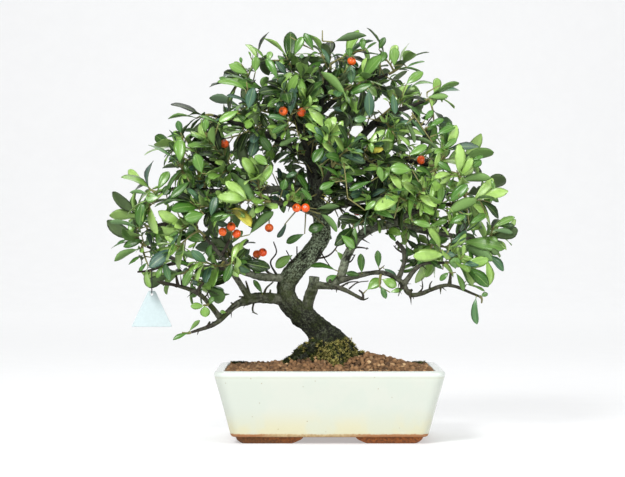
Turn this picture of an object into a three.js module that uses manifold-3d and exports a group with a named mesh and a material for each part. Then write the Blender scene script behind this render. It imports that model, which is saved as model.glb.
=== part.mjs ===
// A firethorn grown as a bonsai, in a glazed rectangular pot of gravelly soil.
// Millimetres, +Z up, +Y away from the front. The model is laid out round the middle of the pot's
// underside and moved at the end, so that its origin is the middle of its whole footprint.
import * as THREE from 'three';
import { mergeVertices } from 'three/addons/utils/BufferGeometryUtils.js';
import Module from 'manifold-3d';

const wasm = await Module();
wasm.setup();

const clearance = 0.3;

// pot
const potWidth = 230;
const potDepth = 170;
const potHeight = 73.5;
const footHeight = 7;
const baseWidth = 198;
const baseDepth = 138;
const floorHeight = 15;
const lipHeight = 7;
const lipStep = 0.7;
const mouthWidth = 211;
const mouthDepth = 151;
const innerFloorWidth = 182;
const innerFloorDepth = 122;
const rimCorner = 13;
const baseCorner = 11;
const drainRadius = 8;
const drainX = 46;
const cornerSteps = 3;

// drainage mesh
const meshSize = 26;
const meshThickness = 1;
const meshHole = 4.2;
const meshPitch = 6;

// soil
const soilEdge = 72.5;
const moundLeft = 6;
const moundPeak = 14;
const moundPeakX = 36;
const soilGrain = 1.6;
const soilRings = 6;

// tag and its thread
const tagX = -182;
const tagY = -5;
const tagTop = 151.5;
const tagHeight = 37;
const tagWidth = 42;
const tagTopWidth = 7;
const tagThickness = 0.9;
const tagHoleZ = 148;
const tagHoleRadius = 1.5;
const threadRadius = 0.45;
const twigZ = 173.2;
const twigRadius = 1.4;

// leaves, berries and thorns
const leafLength = 30;
const leafWidth = 12.6;
const loneLeaf = 0.68;
const leafThickness = 0.7;
const leafGap = 6;
const berryRadius = 4.5;
const stalkRadius = 1;
const thornLength = 11;
const thornRadius = 1.1;
const stemRadius = 1.6;
const stemTipRadius = 1;
const crownCentre = [-15, 0, 250];
const crownReach = [210, 122, 170];

// The wood as centre lines: [x, y, z, radius] along the trunk, the roots and each branch.
const wood = {
  trunk: [
    [9, 0, 54, 13], [8, 0, 70, 21], [6, 0, 84, 21.5], [1, -1, 96, 18], [-7, -2, 107, 14],
    [-21, -4, 121, 11.5], [-33, -5, 131, 10.8], [-41, -5, 140, 10.1], [-44, -3, 150, 9.4],
    [-42, 0, 162, 9.3], [-35, 2, 173, 9.5], [-15, 6, 195, 8.9], [-8, 6, 208, 8.3],
    [-8, 4, 222, 7.8], [-15, 0, 253, 6.8], [-16, -2, 269, 6.2], [-20, 2, 298, 4.9],
    [-16, 3, 317, 4.3], [1, -2, 378, 2.2],
  ],
  root_left: [
    [-6, -4, 99, 10], [-22, -6, 89.5, 7.8], [-36, -7, 80, 6], [-50, -6, 69, 4],
  ],
  root_right: [
    [6, 2, 91, 11], [25, 4, 80, 7.6], [60, 8, 66, 3.4],
  ],
  root_front: [
    [4, -8, 93, 10.5], [9, -24, 84, 8.4], [7, -40, 71, 4.6],
  ],
  root_back: [
    [4, 8, 92, 10], [8, 28, 86, 7], [14, 46, 70, 3.8],
  ],
  lower_left: [
    [-40, -4, 142, 5], [-82, -16, 143, 5.1], [-92, -19, 139, 3.8], [-117, -27, 118, 2.6],
    [-140, -33, 110, 1.2],
  ],
  lower_left_fork: [
    [-111, -25, 125, 2.6], [-131, -30, 148, 2.4], [-171, -40, 162, 1.2],
  ],
  left_riser: [
    [-81, -17, 144, 3.3], [-109, -42, 187, 2.2], [-125, -48, 207, 1.6],
  ],
  left_middle: [
    [-43, -2, 164, 4.3], [-74, -6, 167, 3.9], [-99, 4, 174, 3.1], [-137, 12, 176, 2.4],
    [-188, 6, 197, 1.4],
  ],
  left_upper: [
    [-15, 0, 249, 4.7], [-30, -6, 255, 4.5], [-48, -12, 255, 4.1], [-113, -24, 253, 2.9],
    [-156, -26, 256, 1.9], [-172, -24, 253, 1.5],
  ],
  left_upper_low: [
    [-89, -20, 251, 2.9], [-125, 16, 234, 2.5], [-145, 26, 227, 2.1], [-183, 28, 218, 1.5],
  ],
  left_upper_high: [
    [-67, -16, 252, 2.9], [-103, -24, 273, 2.3], [-138, -24, 294, 1.6],
  ],
  left_top: [
    [-19, 0, 282, 4.3], [-32, 8, 295, 3.9], [-67, 18, 314, 3.2], [-86, 18, 321, 2.7],
    [-119, 8, 332, 1.5],
  ],
  crown_left: [
    [-18, 2, 311, 3.4], [-46, -14, 340, 2.7], [-78, -14, 364, 1.7],
  ],
  crown_right: [
    [-12, 2, 333, 3.1], [22, 14, 360, 2.5], [61, 10, 375, 1.6],
  ],
  right_upper: [
    [-15, -2, 274, 4.7], [-1, -6, 291, 4.5], [27, -11, 304, 4.1], [48, -12, 324, 3.6],
    [97, -6, 346, 1.7],
  ],
  right_upper_back: [
    [-15, 0, 263, 4.3], [5, 18, 273, 3.9], [58, 46, 287, 3.2], [86, 50, 289, 2.6],
    [111, 48, 286, 2.1],
  ],
  right_stub: [
    [-23, -6, 128, 6.4], [-22, -9, 137, 5.9], [-19, -12, 148, 5.7], [-16, -14, 158, 5.7],
    [-15, -15, 166, 5.4],
  ],
  right_low_twig: [
    [-16, -13, 158, 3.9], [10, -22, 155, 2.5], [33, -31, 144, 1.7],
  ],
  right_middle: [
    [0, -18, 157, 3.7], [8, -16, 162, 4], [20, -12, 191, 4.3], [30, -14, 206, 4.5],
    [43, -18, 215, 4.5], [60, -24, 219, 4.1], [96, -32, 213, 3.2], [148, -26, 204, 1.7],
  ],
  right_low: [
    [9, -16, 163, 3.1], [62, -36, 168, 2.5], [75, -39, 159, 2.8], [79, -40, 151, 2.4],
    [121, -45, 158, 1.9], [151, -42, 147, 1.1],
  ],
  right_low_fork: [
    [75, -39, 159, 2.7], [93, -48, 179, 2], [116, -50, 181, 1.4],
  ],
  right_low_link: [
    [70, -38, 164, 2.3], [76, -32, 184, 2.2], [75, -32, 194, 2.1], [68, -34, 202, 1.8],
  ],
  right_spur: [
    [121, -45, 157, 1.8], [122, -47, 170, 1.3],
  ],
  right_front: [
    [61, -24, 219, 3.1], [93, -46, 235, 2.4], [130, -54, 241, 1.6],
  ],
  right_back: [
    [-11, 4, 233, 4.5], [7, 18, 239, 4.2], [56, 44, 249, 3.4], [83, 52, 252, 3],
    [109, 54, 253, 2.4], [134, 50, 251, 1.8],
  ],
  back_low: [
    [-10, 6, 226, 4.3], [-30, 54, 247, 3.2], [-47, 74, 254, 2.6], [-67, 88, 256, 1.9],
  ],
  back_middle: [
    [-16, 0, 259, 4.1], [1, 52, 288, 3.1], [17, 88, 311, 1.7],
  ],
  back_high: [
    [-18, 2, 296, 3.6], [-7, 44, 334, 2.5], [-11, 58, 352, 1.8],
  ],
  front_middle: [
    [-14, 0, 245, 3.7], [3, -64, 277, 1.9],
  ],
  front_left: [
    [-11, 0, 230, 3.9], [-42, -46, 240, 2.7], [-59, -64, 242, 2],
  ],
  front_high: [
    [-20, 0, 290, 3.3], [-37, -58, 330, 1.6],
  ],
  right_fore: [
    [-15, 0, 258, 4], [2, -14, 270, 3.7], [24, -26, 279, 3.3], [50, -36, 284, 2.9],
    [76, -44, 284, 2.3], [100, -46, 279, 1.7],
  ],
  tag_twig: [
    [-154, 12, 181, 1.8], [-166, 5, 178, 1.7], [-176, -2, 175, 1.4], [-186, -7, 172, 1.2],
    [-196, -12, 171, 1],
  ],
  berry_twig: [
    [-109, -42, 187, 1.8], [-100, -54, 204, 1.1],
  ],
};

// Leafy sprays: [branch it grows from, share of the way along it, tip of the shoot, tip of its side shoot].
const sprays = {
  left_end: ['left_middle', 1, [[-199, 4, 206], [-185, -12, 177]]],
  left_under: ['left_middle', 0.68, [[-165, 24, 168], [-133, 2, 161]]],
  left_inner_under: ['left_middle', 0.42, [[-101, 28, 196], [-121, 52, 204]]],
  left_front: ['left_riser', 1, [[-147, -60, 220], [-153, -64, 194]]],
  left_face: ['left_riser', 0.62, [[-123, -70, 182], [-90, -58, 182]]],
  left_back_low: ['left_upper_low', 1, [[-200, 20, 233], [-183, 42, 204]]],
  left_out: ['left_upper', 1, [[-187, -14, 261], [-182, -34, 238]]],
  left_mid_front: ['left_upper', 0.55, [[-132, -62, 236], [-103, -66, 232]]],
  left_high: ['left_upper_high', 1, [[-162, -20, 297], [-148, -46, 274]]],
  left_high_front: ['left_upper_high', 0.5, [[-118, -54, 298], [-108, -62, 268]]],
  left_mid_back: ['left_upper', 0.72, [[-151, 26, 279], [-128, 36, 298]]],
  left_inner_front: ['front_left', 1, [[-83, -86, 243], [-71, -84, 265]]],
  crown_low_left: ['left_top', 1, [[-137, 4, 329], [-126, -10, 310]]],
  crown_left_back: ['left_top', 0.5, [[-93, 52, 343], [-106, 50, 311]]],
  crown_left_tip: ['crown_left', 1, [[-97, -10, 363], [-73, -2, 391]]],
  crown_left_front: ['crown_left', 0.52, [[-80, -58, 338], [-84, -56, 312]]],
  crown_front: ['front_high', 0.74, [[-45, -78, 351], [-21, -80, 335]]],
  apex_left: ['trunk', 0.93, [[-42, -20, 387], [-28, -46, 367]]],
  apex: ['trunk', 1, [[-7, 4, 394], [21, -8, 394]]],
  apex_back: ['back_high', 1, [[-30, 70, 380], [10, 68, 384]]],
  crown_right_tip: ['crown_right', 1, [[77, 4, 385], [57, 12, 393]]],
  crown_right_front: ['crown_right', 0.45, [[35, -50, 363], [11, -54, 352]]],
  crown_right_back: ['crown_right', 0.72, [[67, 60, 364], [39, 54, 387]]],
  upper_right_tip: ['right_upper', 1, [[112, 0, 354], [107, -16, 324]]],
  upper_right_front: ['right_upper', 0.62, [[71, -54, 344], [65, -52, 310]]],
  right_fore_tip: ['right_fore', 1, [[117, -56, 294], [105, -60, 268]]],
  right_fore_mid: ['right_fore', 0.5, [[42, -66, 298], [56, -72, 271]]],
  middle_front: ['front_middle', 1, [[18, -86, 295], [-2, -84, 305]]],
  upper_back: ['back_middle', 1, [[28, 104, 333], [-5, 106, 318]]],
  right_back_tip: ['right_upper_back', 1, [[142, 38, 289], [119, 52, 309]]],
  right_back_mid: ['right_upper_back', 0.5, [[78, 78, 310], [59, 84, 263]]],
  right_far: ['right_back', 1, [[160, 36, 258], [149, 48, 231]]],
  right_inner_back: ['right_back', 0.55, [[98, 88, 272], [81, 78, 231]]],
  right_front_tip: ['right_front', 1, [[151, -56, 244], [128, -68, 270]]],
  right_front_mid: ['right_front', 0.5, [[93, -84, 253], [68, -80, 247]]],
  right_tip: ['right_middle', 1, [[170, -20, 210], [157, -28, 187]]],
  right_mid_front: ['right_middle', 0.5, [[36, -62, 248], [23, -52, 216]]],
  right_mid_low: ['right_middle', 0.78, [[97, -20, 185], [121, 6, 197]]],
  right_low_tip: ['right_low_fork', 1, [[135, -58, 176], [110, -66, 194]]],
  right_low_end: ['right_low', 1, [[154, -38, 140]]],
  right_low_mid: ['right_low', 0.3, [[51, -46, 156]]],
  low_left_end: ['lower_left', 1, [[-149, -36, 110]]],
  low_left_leaf: ['lower_left_fork', 0.25, [[-127, -40, 138]]],
  back_left: ['back_low', 1, [[-78, 106, 273], [-97, 98, 240]]],
};

// Bunches of berries: [branch, share of the way along it, middle of each berry].
const bunches = {
  berries_top: ['trunk', 0.975, [[23, -20, 386]]],
  berries_crown: ['front_high', 1, [[-46, -74, 332], [-28, -72, 331]]],
  berries_left_high: ['left_upper_high', 0.62, [[-106, -36, 301]]],
  berries_centre: ['front_left', 0.45, [[-33, -52, 236], [-24, -50, 236]]],
  berries_left: ['berry_twig', 1, [[-98, -66, 217], [-93, -58, 210], [-107, -60, 212]]],
  berries_left_inner: ['left_upper', 0.32, [[-61, -30, 216]]],
  berries_left_low: ['left_middle', 0.24, [[-68, -12, 191], [-74, -3, 189]]],
  berries_right: ['right_fore', 0.82, [[92, -54, 284]]],
  berries_right_low: ['right_middle', 0.44, [[29, -20, 233]]],
};

// Branches that carry thorns, with how many on each.
const thorny = {
  lower_left: 2, lower_left_fork: 2, left_riser: 1, left_middle: 2, right_low_twig: 1,
  right_middle: 2, right_low: 3, right_low_link: 1,
};

// Leaves on each shoot of a spray: the share of the way along it where each one starts.
const mainLeaves = [0.39, 0.6, 0.73, 0.93, 1];
const sideLeaves = [0.6, 0.9, 1];
const loneLeaves = [0.6, 0.93, 1];

function fixed(a, b, c = 0) {
  const value = Math.sin(a * 12.9898 + b * 78.233 + c * 37.719) * 43758.5453;
  return value - Math.floor(value);
}

const vector = (p) => new THREE.Vector3(p[0], p[1], p[2]);

function solid(positions, triangles) {
  const geometry = new THREE.BufferGeometry();
  geometry.setAttribute('position', new THREE.Float32BufferAttribute(positions, 3));
  geometry.setIndex(triangles);
  return manifold(geometry);
}

function manifold(source) {
  const bare = source.clone();
  bare.deleteAttribute('normal');
  bare.deleteAttribute('uv');
  const merged = mergeVertices(bare, 1e-5);
  return new wasm.Manifold(new wasm.Mesh({
    numProp: 3,
    vertProperties: new Float32Array(merged.getAttribute('position').array),
    triVerts: new Uint32Array(merged.index.array),
  }));
}

function geometryOf(body) {
  const mesh = body.getMesh();
  const geometry = new THREE.BufferGeometry();
  geometry.setAttribute('position', new THREE.BufferAttribute(new Float32Array(mesh.vertProperties), 3));
  geometry.setIndex(new THREE.BufferAttribute(new Uint32Array(mesh.triVerts), 1));
  return geometry;
}

function joined(bodies) {
  return bodies.reduce((sum, body) => sum.add(body));
}

// A closed solid through rings of equal count, each ring anticlockwise seen from the last one.
// The two end rings are closed by a fan from their first point.
function loft(rings) {
  const count = rings[0].length;
  const positions = rings.flat().flatMap((p) => [p.x, p.y, p.z]);
  const triangles = [];
  for (let r = 0; r < rings.length - 1; r += 1) {
    for (let i = 0; i < count; i += 1) {
      const a = r * count + i;
      const b = r * count + ((i + 1) % count);
      triangles.push(a, b, b + count, a, b + count, a + count);
    }
  }
  const last = (rings.length - 1) * count;
  for (let i = 1; i < count - 1; i += 1) {
    triangles.push(0, i + 1, i, last, last + i, last + i + 1);
  }
  return solid(positions, triangles);
}

// Directions at each point of a centre line: along it and two across it, carried along without twist.
function frames(points) {
  const tangents = points.map((p, i) => {
    const before = points[Math.max(i - 1, 0)];
    const after = points[Math.min(i + 1, points.length - 1)];
    return after.clone().sub(before).normalize();
  });
  let across = Math.abs(tangents[0].y) < 0.8 ? new THREE.Vector3(0, 1, 0) : new THREE.Vector3(1, 0, 0);
  return tangents.map((tangent) => {
    across = across.clone().addScaledVector(tangent, -across.dot(tangent)).normalize();
    return { tangent, across, other: tangent.clone().cross(across) };
  });
}

// A tube through rows of [x, y, z, radius].
function tube(rows, sides, extra = 0, wobble = 0) {
  const points = rows.map(vector);
  const turned = frames(points);
  const rings = points.map((p, i) => {
    const { tangent, across, other } = turned[i];
    let end = 0;
    if (i === 0) {
      end = -extra;
    } else if (i === points.length - 1) {
      end = extra;
    }
    const middle = p.clone().addScaledVector(tangent, end);
    return Array.from({ length: sides }, (_, k) => {
      const angle = (2 * Math.PI * k) / sides;
      const lobes = 1 + wobble * Math.sin(3 * angle + i * 0.5) + wobble * 0.6 * Math.sin(5 * angle - i * 0.8);
      const radius = rows[i][3] * lobes + extra;
      return middle.clone().addScaledVector(across, radius * Math.cos(angle))
        .addScaledVector(other, radius * Math.sin(angle));
    });
  });
  return loft(rings);
}

function roundedRectangle(width, depth, corner, z) {
  const ring = [];
  const middles = [[1, -1], [1, 1], [-1, 1], [-1, -1]];
  middles.forEach(([sx, sy], quarter) => {
    for (let i = 0; i <= cornerSteps; i += 1) {
      const angle = (Math.PI / 2) * (quarter - 1 + i / cornerSteps);
      const x = sx * (width / 2 - corner) + corner * Math.cos(angle);
      const y = sy * (depth / 2 - corner) + corner * Math.sin(angle);
      ring.push(new THREE.Vector3(x, y, z));
    }
  });
  return ring;
}

// A foot is an L round the corner, with its ends cut back towards the ground.
function foot(sx, sy) {
  const thickness = 17;
  const frontLength = 69;
  const sideLength = 46;
  const ring = (z, inset, cut) => {
    const x0 = 94.2 - inset;
    const y0 = 65 - inset;
    const x1 = 94.2 - frontLength + cut;
    const y1 = 65 - sideLength + cut;
    const x2 = 94.2 - thickness + inset * 0.6;
    const y2 = 65 - thickness + inset * 0.6;
    const corner = 8;
    const outline = [
      [x2, y2], [x1, y2], [x1, y0], [x0 - corner, y0], [x0 - corner * 0.3, y0 - corner * 0.3],
      [x0, y0 - corner], [x0, y1], [x2, y1],
    ];
    const turned = sx * sy < 0 ? outline : [outline[0], ...outline.slice(1).reverse()];
    return turned.map(([x, y]) => new THREE.Vector3(x * sx, y * sy, z));
  };
  return loft([ring(0, 5.2, 11), ring(2, 3, 7.5), ring(4.5, 1, 3), ring(footHeight + 2, 0, 0)]);
}

function pot() {
  const wall = (share) => [
    THREE.MathUtils.lerp(baseWidth, potWidth - 2 * lipStep, share),
    THREE.MathUtils.lerp(baseDepth, potDepth - 2 * lipStep, share),
    THREE.MathUtils.lerp(baseCorner, rimCorner, share),
  ];
  const under = potHeight - lipHeight;
  const body = loft([
    roundedRectangle(baseWidth - 3, baseDepth - 3, baseCorner - 1, footHeight),
    roundedRectangle(...wall(0.02), footHeight + 1.2),
    roundedRectangle(...wall(0.5), (footHeight + under) / 2),
    roundedRectangle(...wall(1), under),
    roundedRectangle(potWidth, potDepth, rimCorner, under + 1.4),
    roundedRectangle(potWidth, potDepth, rimCorner, potHeight - 1.4),
    roundedRectangle(potWidth - 2.8, potDepth - 2.8, rimCorner - 1, potHeight),
    roundedRectangle(mouthWidth + 2.4, mouthDepth + 2.4, 9, potHeight),
    roundedRectangle(mouthWidth, mouthDepth, 8, potHeight - 1.4),
    roundedRectangle(innerFloorWidth, innerFloorDepth, 7, floorHeight),
  ]);
  const feet = [foot(1, 1), foot(-1, 1), foot(1, -1), foot(-1, -1)];
  return drains(joined([body, ...feet]), drainRadius);
}

function drains(body, radius) {
  return [-drainX, drainX].reduce((rest, x) => {
    const hole = new THREE.CylinderGeometry(radius, radius, 30, 14);
    hole.rotateX(Math.PI / 2);
    hole.translate(x, 0, 8);
    return rest.subtract(manifold(hole));
  }, body);
}

function box(x, y, z, width, depth, height) {
  const geometry = new THREE.BoxGeometry(width, depth, height);
  geometry.translate(x, y, z);
  return manifold(geometry);
}

function drainMesh(x) {
  const z = floorHeight + clearance + meshThickness / 2;
  let plate = box(x, 0, z, meshSize, meshSize, meshThickness);
  for (const i of [-0.5, 0.5]) {
    for (const j of [-0.5, 0.5]) {
      plate = plate.subtract(box(x + i * meshPitch, j * meshPitch, z, meshHole, meshHole, 4));
    }
  }
  return plate;
}

function soilHeight(x, y) {
  const side = x / (mouthWidth / 2);
  const back = y / (mouthDepth / 2);
  const edge = Math.max(0, 1 - Math.max(Math.abs(side), Math.abs(back)) ** 5);
  const peak = Math.exp(-(((x - moundPeakX) / 50) ** 2) - ((y / 40) ** 2));
  const left = Math.exp(-(((x + 30) / 48) ** 2) - ((y / 48) ** 2));
  return soilEdge + edge * (moundPeak * peak + moundLeft * left);
}

function insideOfPot(z, gap) {
  const share = (z - floorHeight) / (potHeight - 1.4 - floorHeight);
  return [
    THREE.MathUtils.lerp(innerFloorWidth, mouthWidth, share) - 2 * gap,
    THREE.MathUtils.lerp(innerFloorDepth, mouthDepth, share) - 2 * gap,
    THREE.MathUtils.lerp(7, 8, share),
  ];
}

// The same ring with each of its four straight sides cut into four.
function divided(ring) {
  return ring.flatMap((p, i) => {
    const next = ring[(i + 1) % ring.length];
    const corner = (i + 1) % (cornerSteps + 1) !== 0;
    return corner ? [p] : [0, 0.25, 0.5, 0.75].map((t) => p.clone().lerp(next, t));
  });
}

// Soil fills the pot to just under its rim and is heaped round the trunk. Its top is rough with grains.
function soil() {
  const gap = clearance * 1.15;
  const bottom = divided(roundedRectangle(...insideOfPot(floorHeight, gap), floorHeight + clearance));
  const top = soilEdge - 1.2;
  const edge = divided(roundedRectangle(...insideOfPot(top, gap), top));
  const rings = [bottom, edge];
  for (let r = 0; r < soilRings; r += 1) {
    const share = 0.97 * (1 - r / (soilRings - 0.6));
    rings.push(edge.map((p, i) => {
      const x = p.x * share + (fixed(i, r, 1) - 0.5) * 3 * share;
      const y = p.y * share + (fixed(i, r, 2) - 0.5) * 3 * share;
      return new THREE.Vector3(x, y, soilHeight(x, y) + soilGrain * (fixed(i, r, 3) - 0.5));
    }));
  }
  let body = loft(rings);
  for (const name of ['trunk', 'root_left', 'root_right', 'root_front', 'root_back']) {
    const sides = name === 'trunk' ? 10 : 6;
    body = body.subtract(tube(wood[name], sides, clearance * 1.2, name === 'trunk' ? 0.07 : 0));
  }
  for (const x of [-drainX, drainX]) {
    const size = meshSize + 2 * clearance;
    body = body.subtract(box(x, 0, floorHeight, size, size, 2 * (meshThickness + 2 * clearance)));
  }
  return body.decompose().sort((a, b) => b.volume() - a.volume())[0];
}

// The point at a share of a centre line's length, with its radius and its direction.
function along(rows, share) {
  const points = rows.map(vector);
  const steps = points.slice(1).map((p, i) => p.distanceTo(points[i]));
  let rest = share * steps.reduce((sum, step) => sum + step, 0);
  let i = 0;
  while (i < steps.length - 1 && rest > steps[i]) {
    rest -= steps[i];
    i += 1;
  }
  const t = Math.min(rest / steps[i], 1);
  return {
    point: points[i].clone().lerp(points[i + 1], t),
    radius: THREE.MathUtils.lerp(rows[i][3], rows[i + 1][3], t),
    direction: points[i + 1].clone().sub(points[i]).normalize(),
    step: i,
  };
}

// Where a stem leaves a branch: square to its side, or off its end, with the clearance between them.
function seat(name, share, target) {
  const host = along(wood[name], share);
  if (share === 1) {
    return { point: host.point.addScaledVector(host.direction, 2 * clearance), direction: host.direction };
  }
  const direction = target.clone().sub(host.point);
  direction.addScaledVector(host.direction, -direction.dot(host.direction)).normalize();
  return { point: host.point.addScaledVector(direction, host.radius + clearance), direction };
}

// A shoot is a curve that leaves its start in a given direction and ends at its tip.
function shoot(start, direction, tip, steps) {
  const reach = start.distanceTo(tip) * 0.45;
  const curve = new THREE.QuadraticBezierCurve3(start, start.clone().addScaledVector(direction, reach), tip);
  return curve.getPoints(steps);
}

function thorns() {
  const list = [];
  Object.entries(thorny).forEach(([name, count], n) => {
    for (let i = 0; i < count; i += 1) {
      const host = along(wood[name], (i + 0.6 + 0.3 * fixed(n, i, 5)) / (count + 0.4));
      const turn = 2 * Math.PI * fixed(n, i, 6);
      const side = new THREE.Vector3(0, 1, 0).cross(host.direction).normalize();
      const other = host.direction.clone().cross(side);
      const direction = side.multiplyScalar(Math.cos(turn)).addScaledVector(other, Math.sin(turn));
      direction.addScaledVector(host.direction, 0.35).normalize();
      const length = thornLength * (0.8 + 0.4 * fixed(n, i, 7));
      const start = host.point.addScaledVector(direction, host.radius * 0.3);
      list.push({ start, end: start.clone().addScaledVector(direction, length) });
    }
  });
  return list;
}

function cone(start, end, radius, sides) {
  const geometry = new THREE.ConeGeometry(radius, start.distanceTo(end), sides);
  geometry.translate(0, start.distanceTo(end) / 2, 0);
  const direction = end.clone().sub(start).normalize();
  geometry.applyQuaternion(new THREE.Quaternion().setFromUnitVectors(new THREE.Vector3(0, 1, 0), direction));
  geometry.translate(start.x, start.y, start.z);
  return manifold(geometry);
}

function tree() {
  const bodies = Object.entries(wood).map(([name, rows]) => {
    if (name === 'trunk') {
      return tube(rows, 10, 0, 0.07);
    }
    if (name.startsWith('root_')) {
      return tube(rows, 6);
    }
    return tube(rows, rows[0][3] > 3 ? 5 : 4);
  });
  return joined([...bodies, ...thorns().map(({ start, end }) => cone(start, end, thornRadius, 3))]);
}

// A leaf is a pointed blade, folded a little along its rib and drooping to its tip.
function leafPoints(leaf) {
  const across = leaf.direction.clone().cross(leaf.normal);
  const at = (s, t, h) => leaf.base.clone().addScaledVector(leaf.direction, s * leaf.length)
    .addScaledVector(across, t * leaf.width / 2).addScaledVector(leaf.normal, h * leaf.length);
  return [
    at(0, 0, 0), at(0.46, 0.98, 0.05), at(0.93, 0.5, -0.06), at(0.93, -0.5, -0.06), at(0.46, -0.98, 0.05),
  ];
}

function leafBody(leaf) {
  const under = leafPoints(leaf).map((p) => p.addScaledVector(leaf.normal, -leafThickness));
  const positions = [...leafPoints(leaf), ...under].flatMap((p) => [p.x, p.y, p.z]);
  const triangles = [];
  for (let i = 0; i < 5; i += 1) {
    const next = (i + 1) % 5;
    triangles.push(i, i + 5, next + 5, i, next + 5, next);
  }
  for (const [a, b, c] of [[0, 1, 4], [1, 2, 3], [1, 3, 4]]) {
    triangles.push(a, b, c, a + 5, c + 5, b + 5);
  }
  return solid(positions, triangles);
}

// Points over a blade, close enough together that two blades with theirs apart can't cross.
function leafSamples(leaf) {
  const across = leaf.direction.clone().cross(leaf.normal);
  const list = [];
  for (const s of [0.25, 0.4, 0.55, 0.7, 0.85, 1]) {
    const half = s < 1 ? leaf.width * 0.42 : 0;
    for (const t of s < 1 ? [-1, 0, 1] : [0]) {
      const drop = -0.1 * s * s * leaf.length;
      list.push(leaf.base.clone().addScaledVector(leaf.direction, s * leaf.length)
        .addScaledVector(across, t * half).addScaledVector(leaf.normal, drop));
    }
  }
  return list;
}

function distanceToSegment(p, segment) {
  const line = segment.end.clone().sub(segment.start);
  const t = THREE.MathUtils.clamp(p.clone().sub(segment.start).dot(line) / line.lengthSq(), 0, 1);
  return p.distanceTo(segment.start.clone().addScaledVector(line, t));
}

function segments(points, radius, owner = '') {
  return points.slice(1).map((end, i) => ({ start: points[i], end, radius, owner }));
}

const stems = {};
for (const [name, [host, share, tips]] of Object.entries(sprays)) {
  const tip = vector(tips[0]);
  const root = seat(host, share, tip);
  const main = shoot(root.point, root.direction, tip, 3);
  const shoots = [main];
  if (tips.length > 1) {
    const sideTip = vector(tips[1]);
    const start = main[1].clone();
    const direction = sideTip.clone().sub(start).normalize().lerp(root.direction, 0.25);
    shoots.push(shoot(start, direction, sideTip, 2));
  }
  stems[name] = shoots;
}

const stalks = {};
for (const [name, [host, share, middles]] of Object.entries(bunches)) {
  const centre = new THREE.Vector3();
  middles.forEach((m) => centre.addScaledVector(vector(m), 1 / middles.length));
  const root = seat(host, share, centre);
  const stalk = shoot(root.point, root.direction, vector(middles[0]), 2);
  stalks[name] = middles.map((m, i) => (i === 0 ? stalk : shoot(stalk[1], root.direction, vector(m), 2)));
}

// Everything that a leaf has to keep clear of.
const obstacles = [];
for (const rows of Object.values(wood)) {
  rows.slice(1).forEach((row, i) => {
    obstacles.push({ start: vector(rows[i]), end: vector(row), radius: Math.max(rows[i][3], row[3]) });
  });
}
thorns().forEach(({ start, end }) => obstacles.push({ start, end, radius: thornRadius }));
for (const [name, shoots] of Object.entries(stems)) {
  shoots.forEach((points) => obstacles.push(...segments(points, stemRadius, name)));
}
for (const [name, list] of Object.entries(stalks)) {
  list.forEach((points) => obstacles.push(...segments(points, stalkRadius, name)));
}
for (const [, , middles] of Object.values(bunches)) {
  middles.forEach((m) => obstacles.push({ start: vector(m), end: vector(m).setX(m[0] + 0.01), radius: 5.5 }));
}
obstacles.push({
  start: new THREE.Vector3(tagX, tagY, tagHoleZ),
  end: new THREE.Vector3(tagX, tagY, twigZ),
  radius: 3,
}, {
  start: new THREE.Vector3(tagX - 8, tagY, tagTop - 22),
  end: new THREE.Vector3(tagX + 8, tagY, tagTop - 22),
  radius: 18,
});

function isClear(samples, owner, placed) {
  const middle = samples[7];
  for (const obstacle of obstacles) {
    if (obstacle.owner !== owner) {
      const room = Math.max(3.3, obstacle.radius + 1.6);
      if (distanceToSegment(middle, obstacle) < room + leafLength
        && samples.some((p) => distanceToSegment(p, obstacle) < room)) {
        return false;
      }
    }
  }
  for (const other of placed) {
    if (other.samples[7].distanceTo(middle) < 1.5 * leafLength) {
      const own = other.owner === owner;
      const room = own ? 3.2 : leafGap;
      const from = own ? 6 : 0;
      for (let i = from; i < samples.length; i += 1) {
        for (let j = from; j < other.samples.length; j += 1) {
          if (samples[i].distanceTo(other.samples[j]) < room) {
            return false;
          }
        }
      }
    }
  }
  return true;
}

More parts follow.
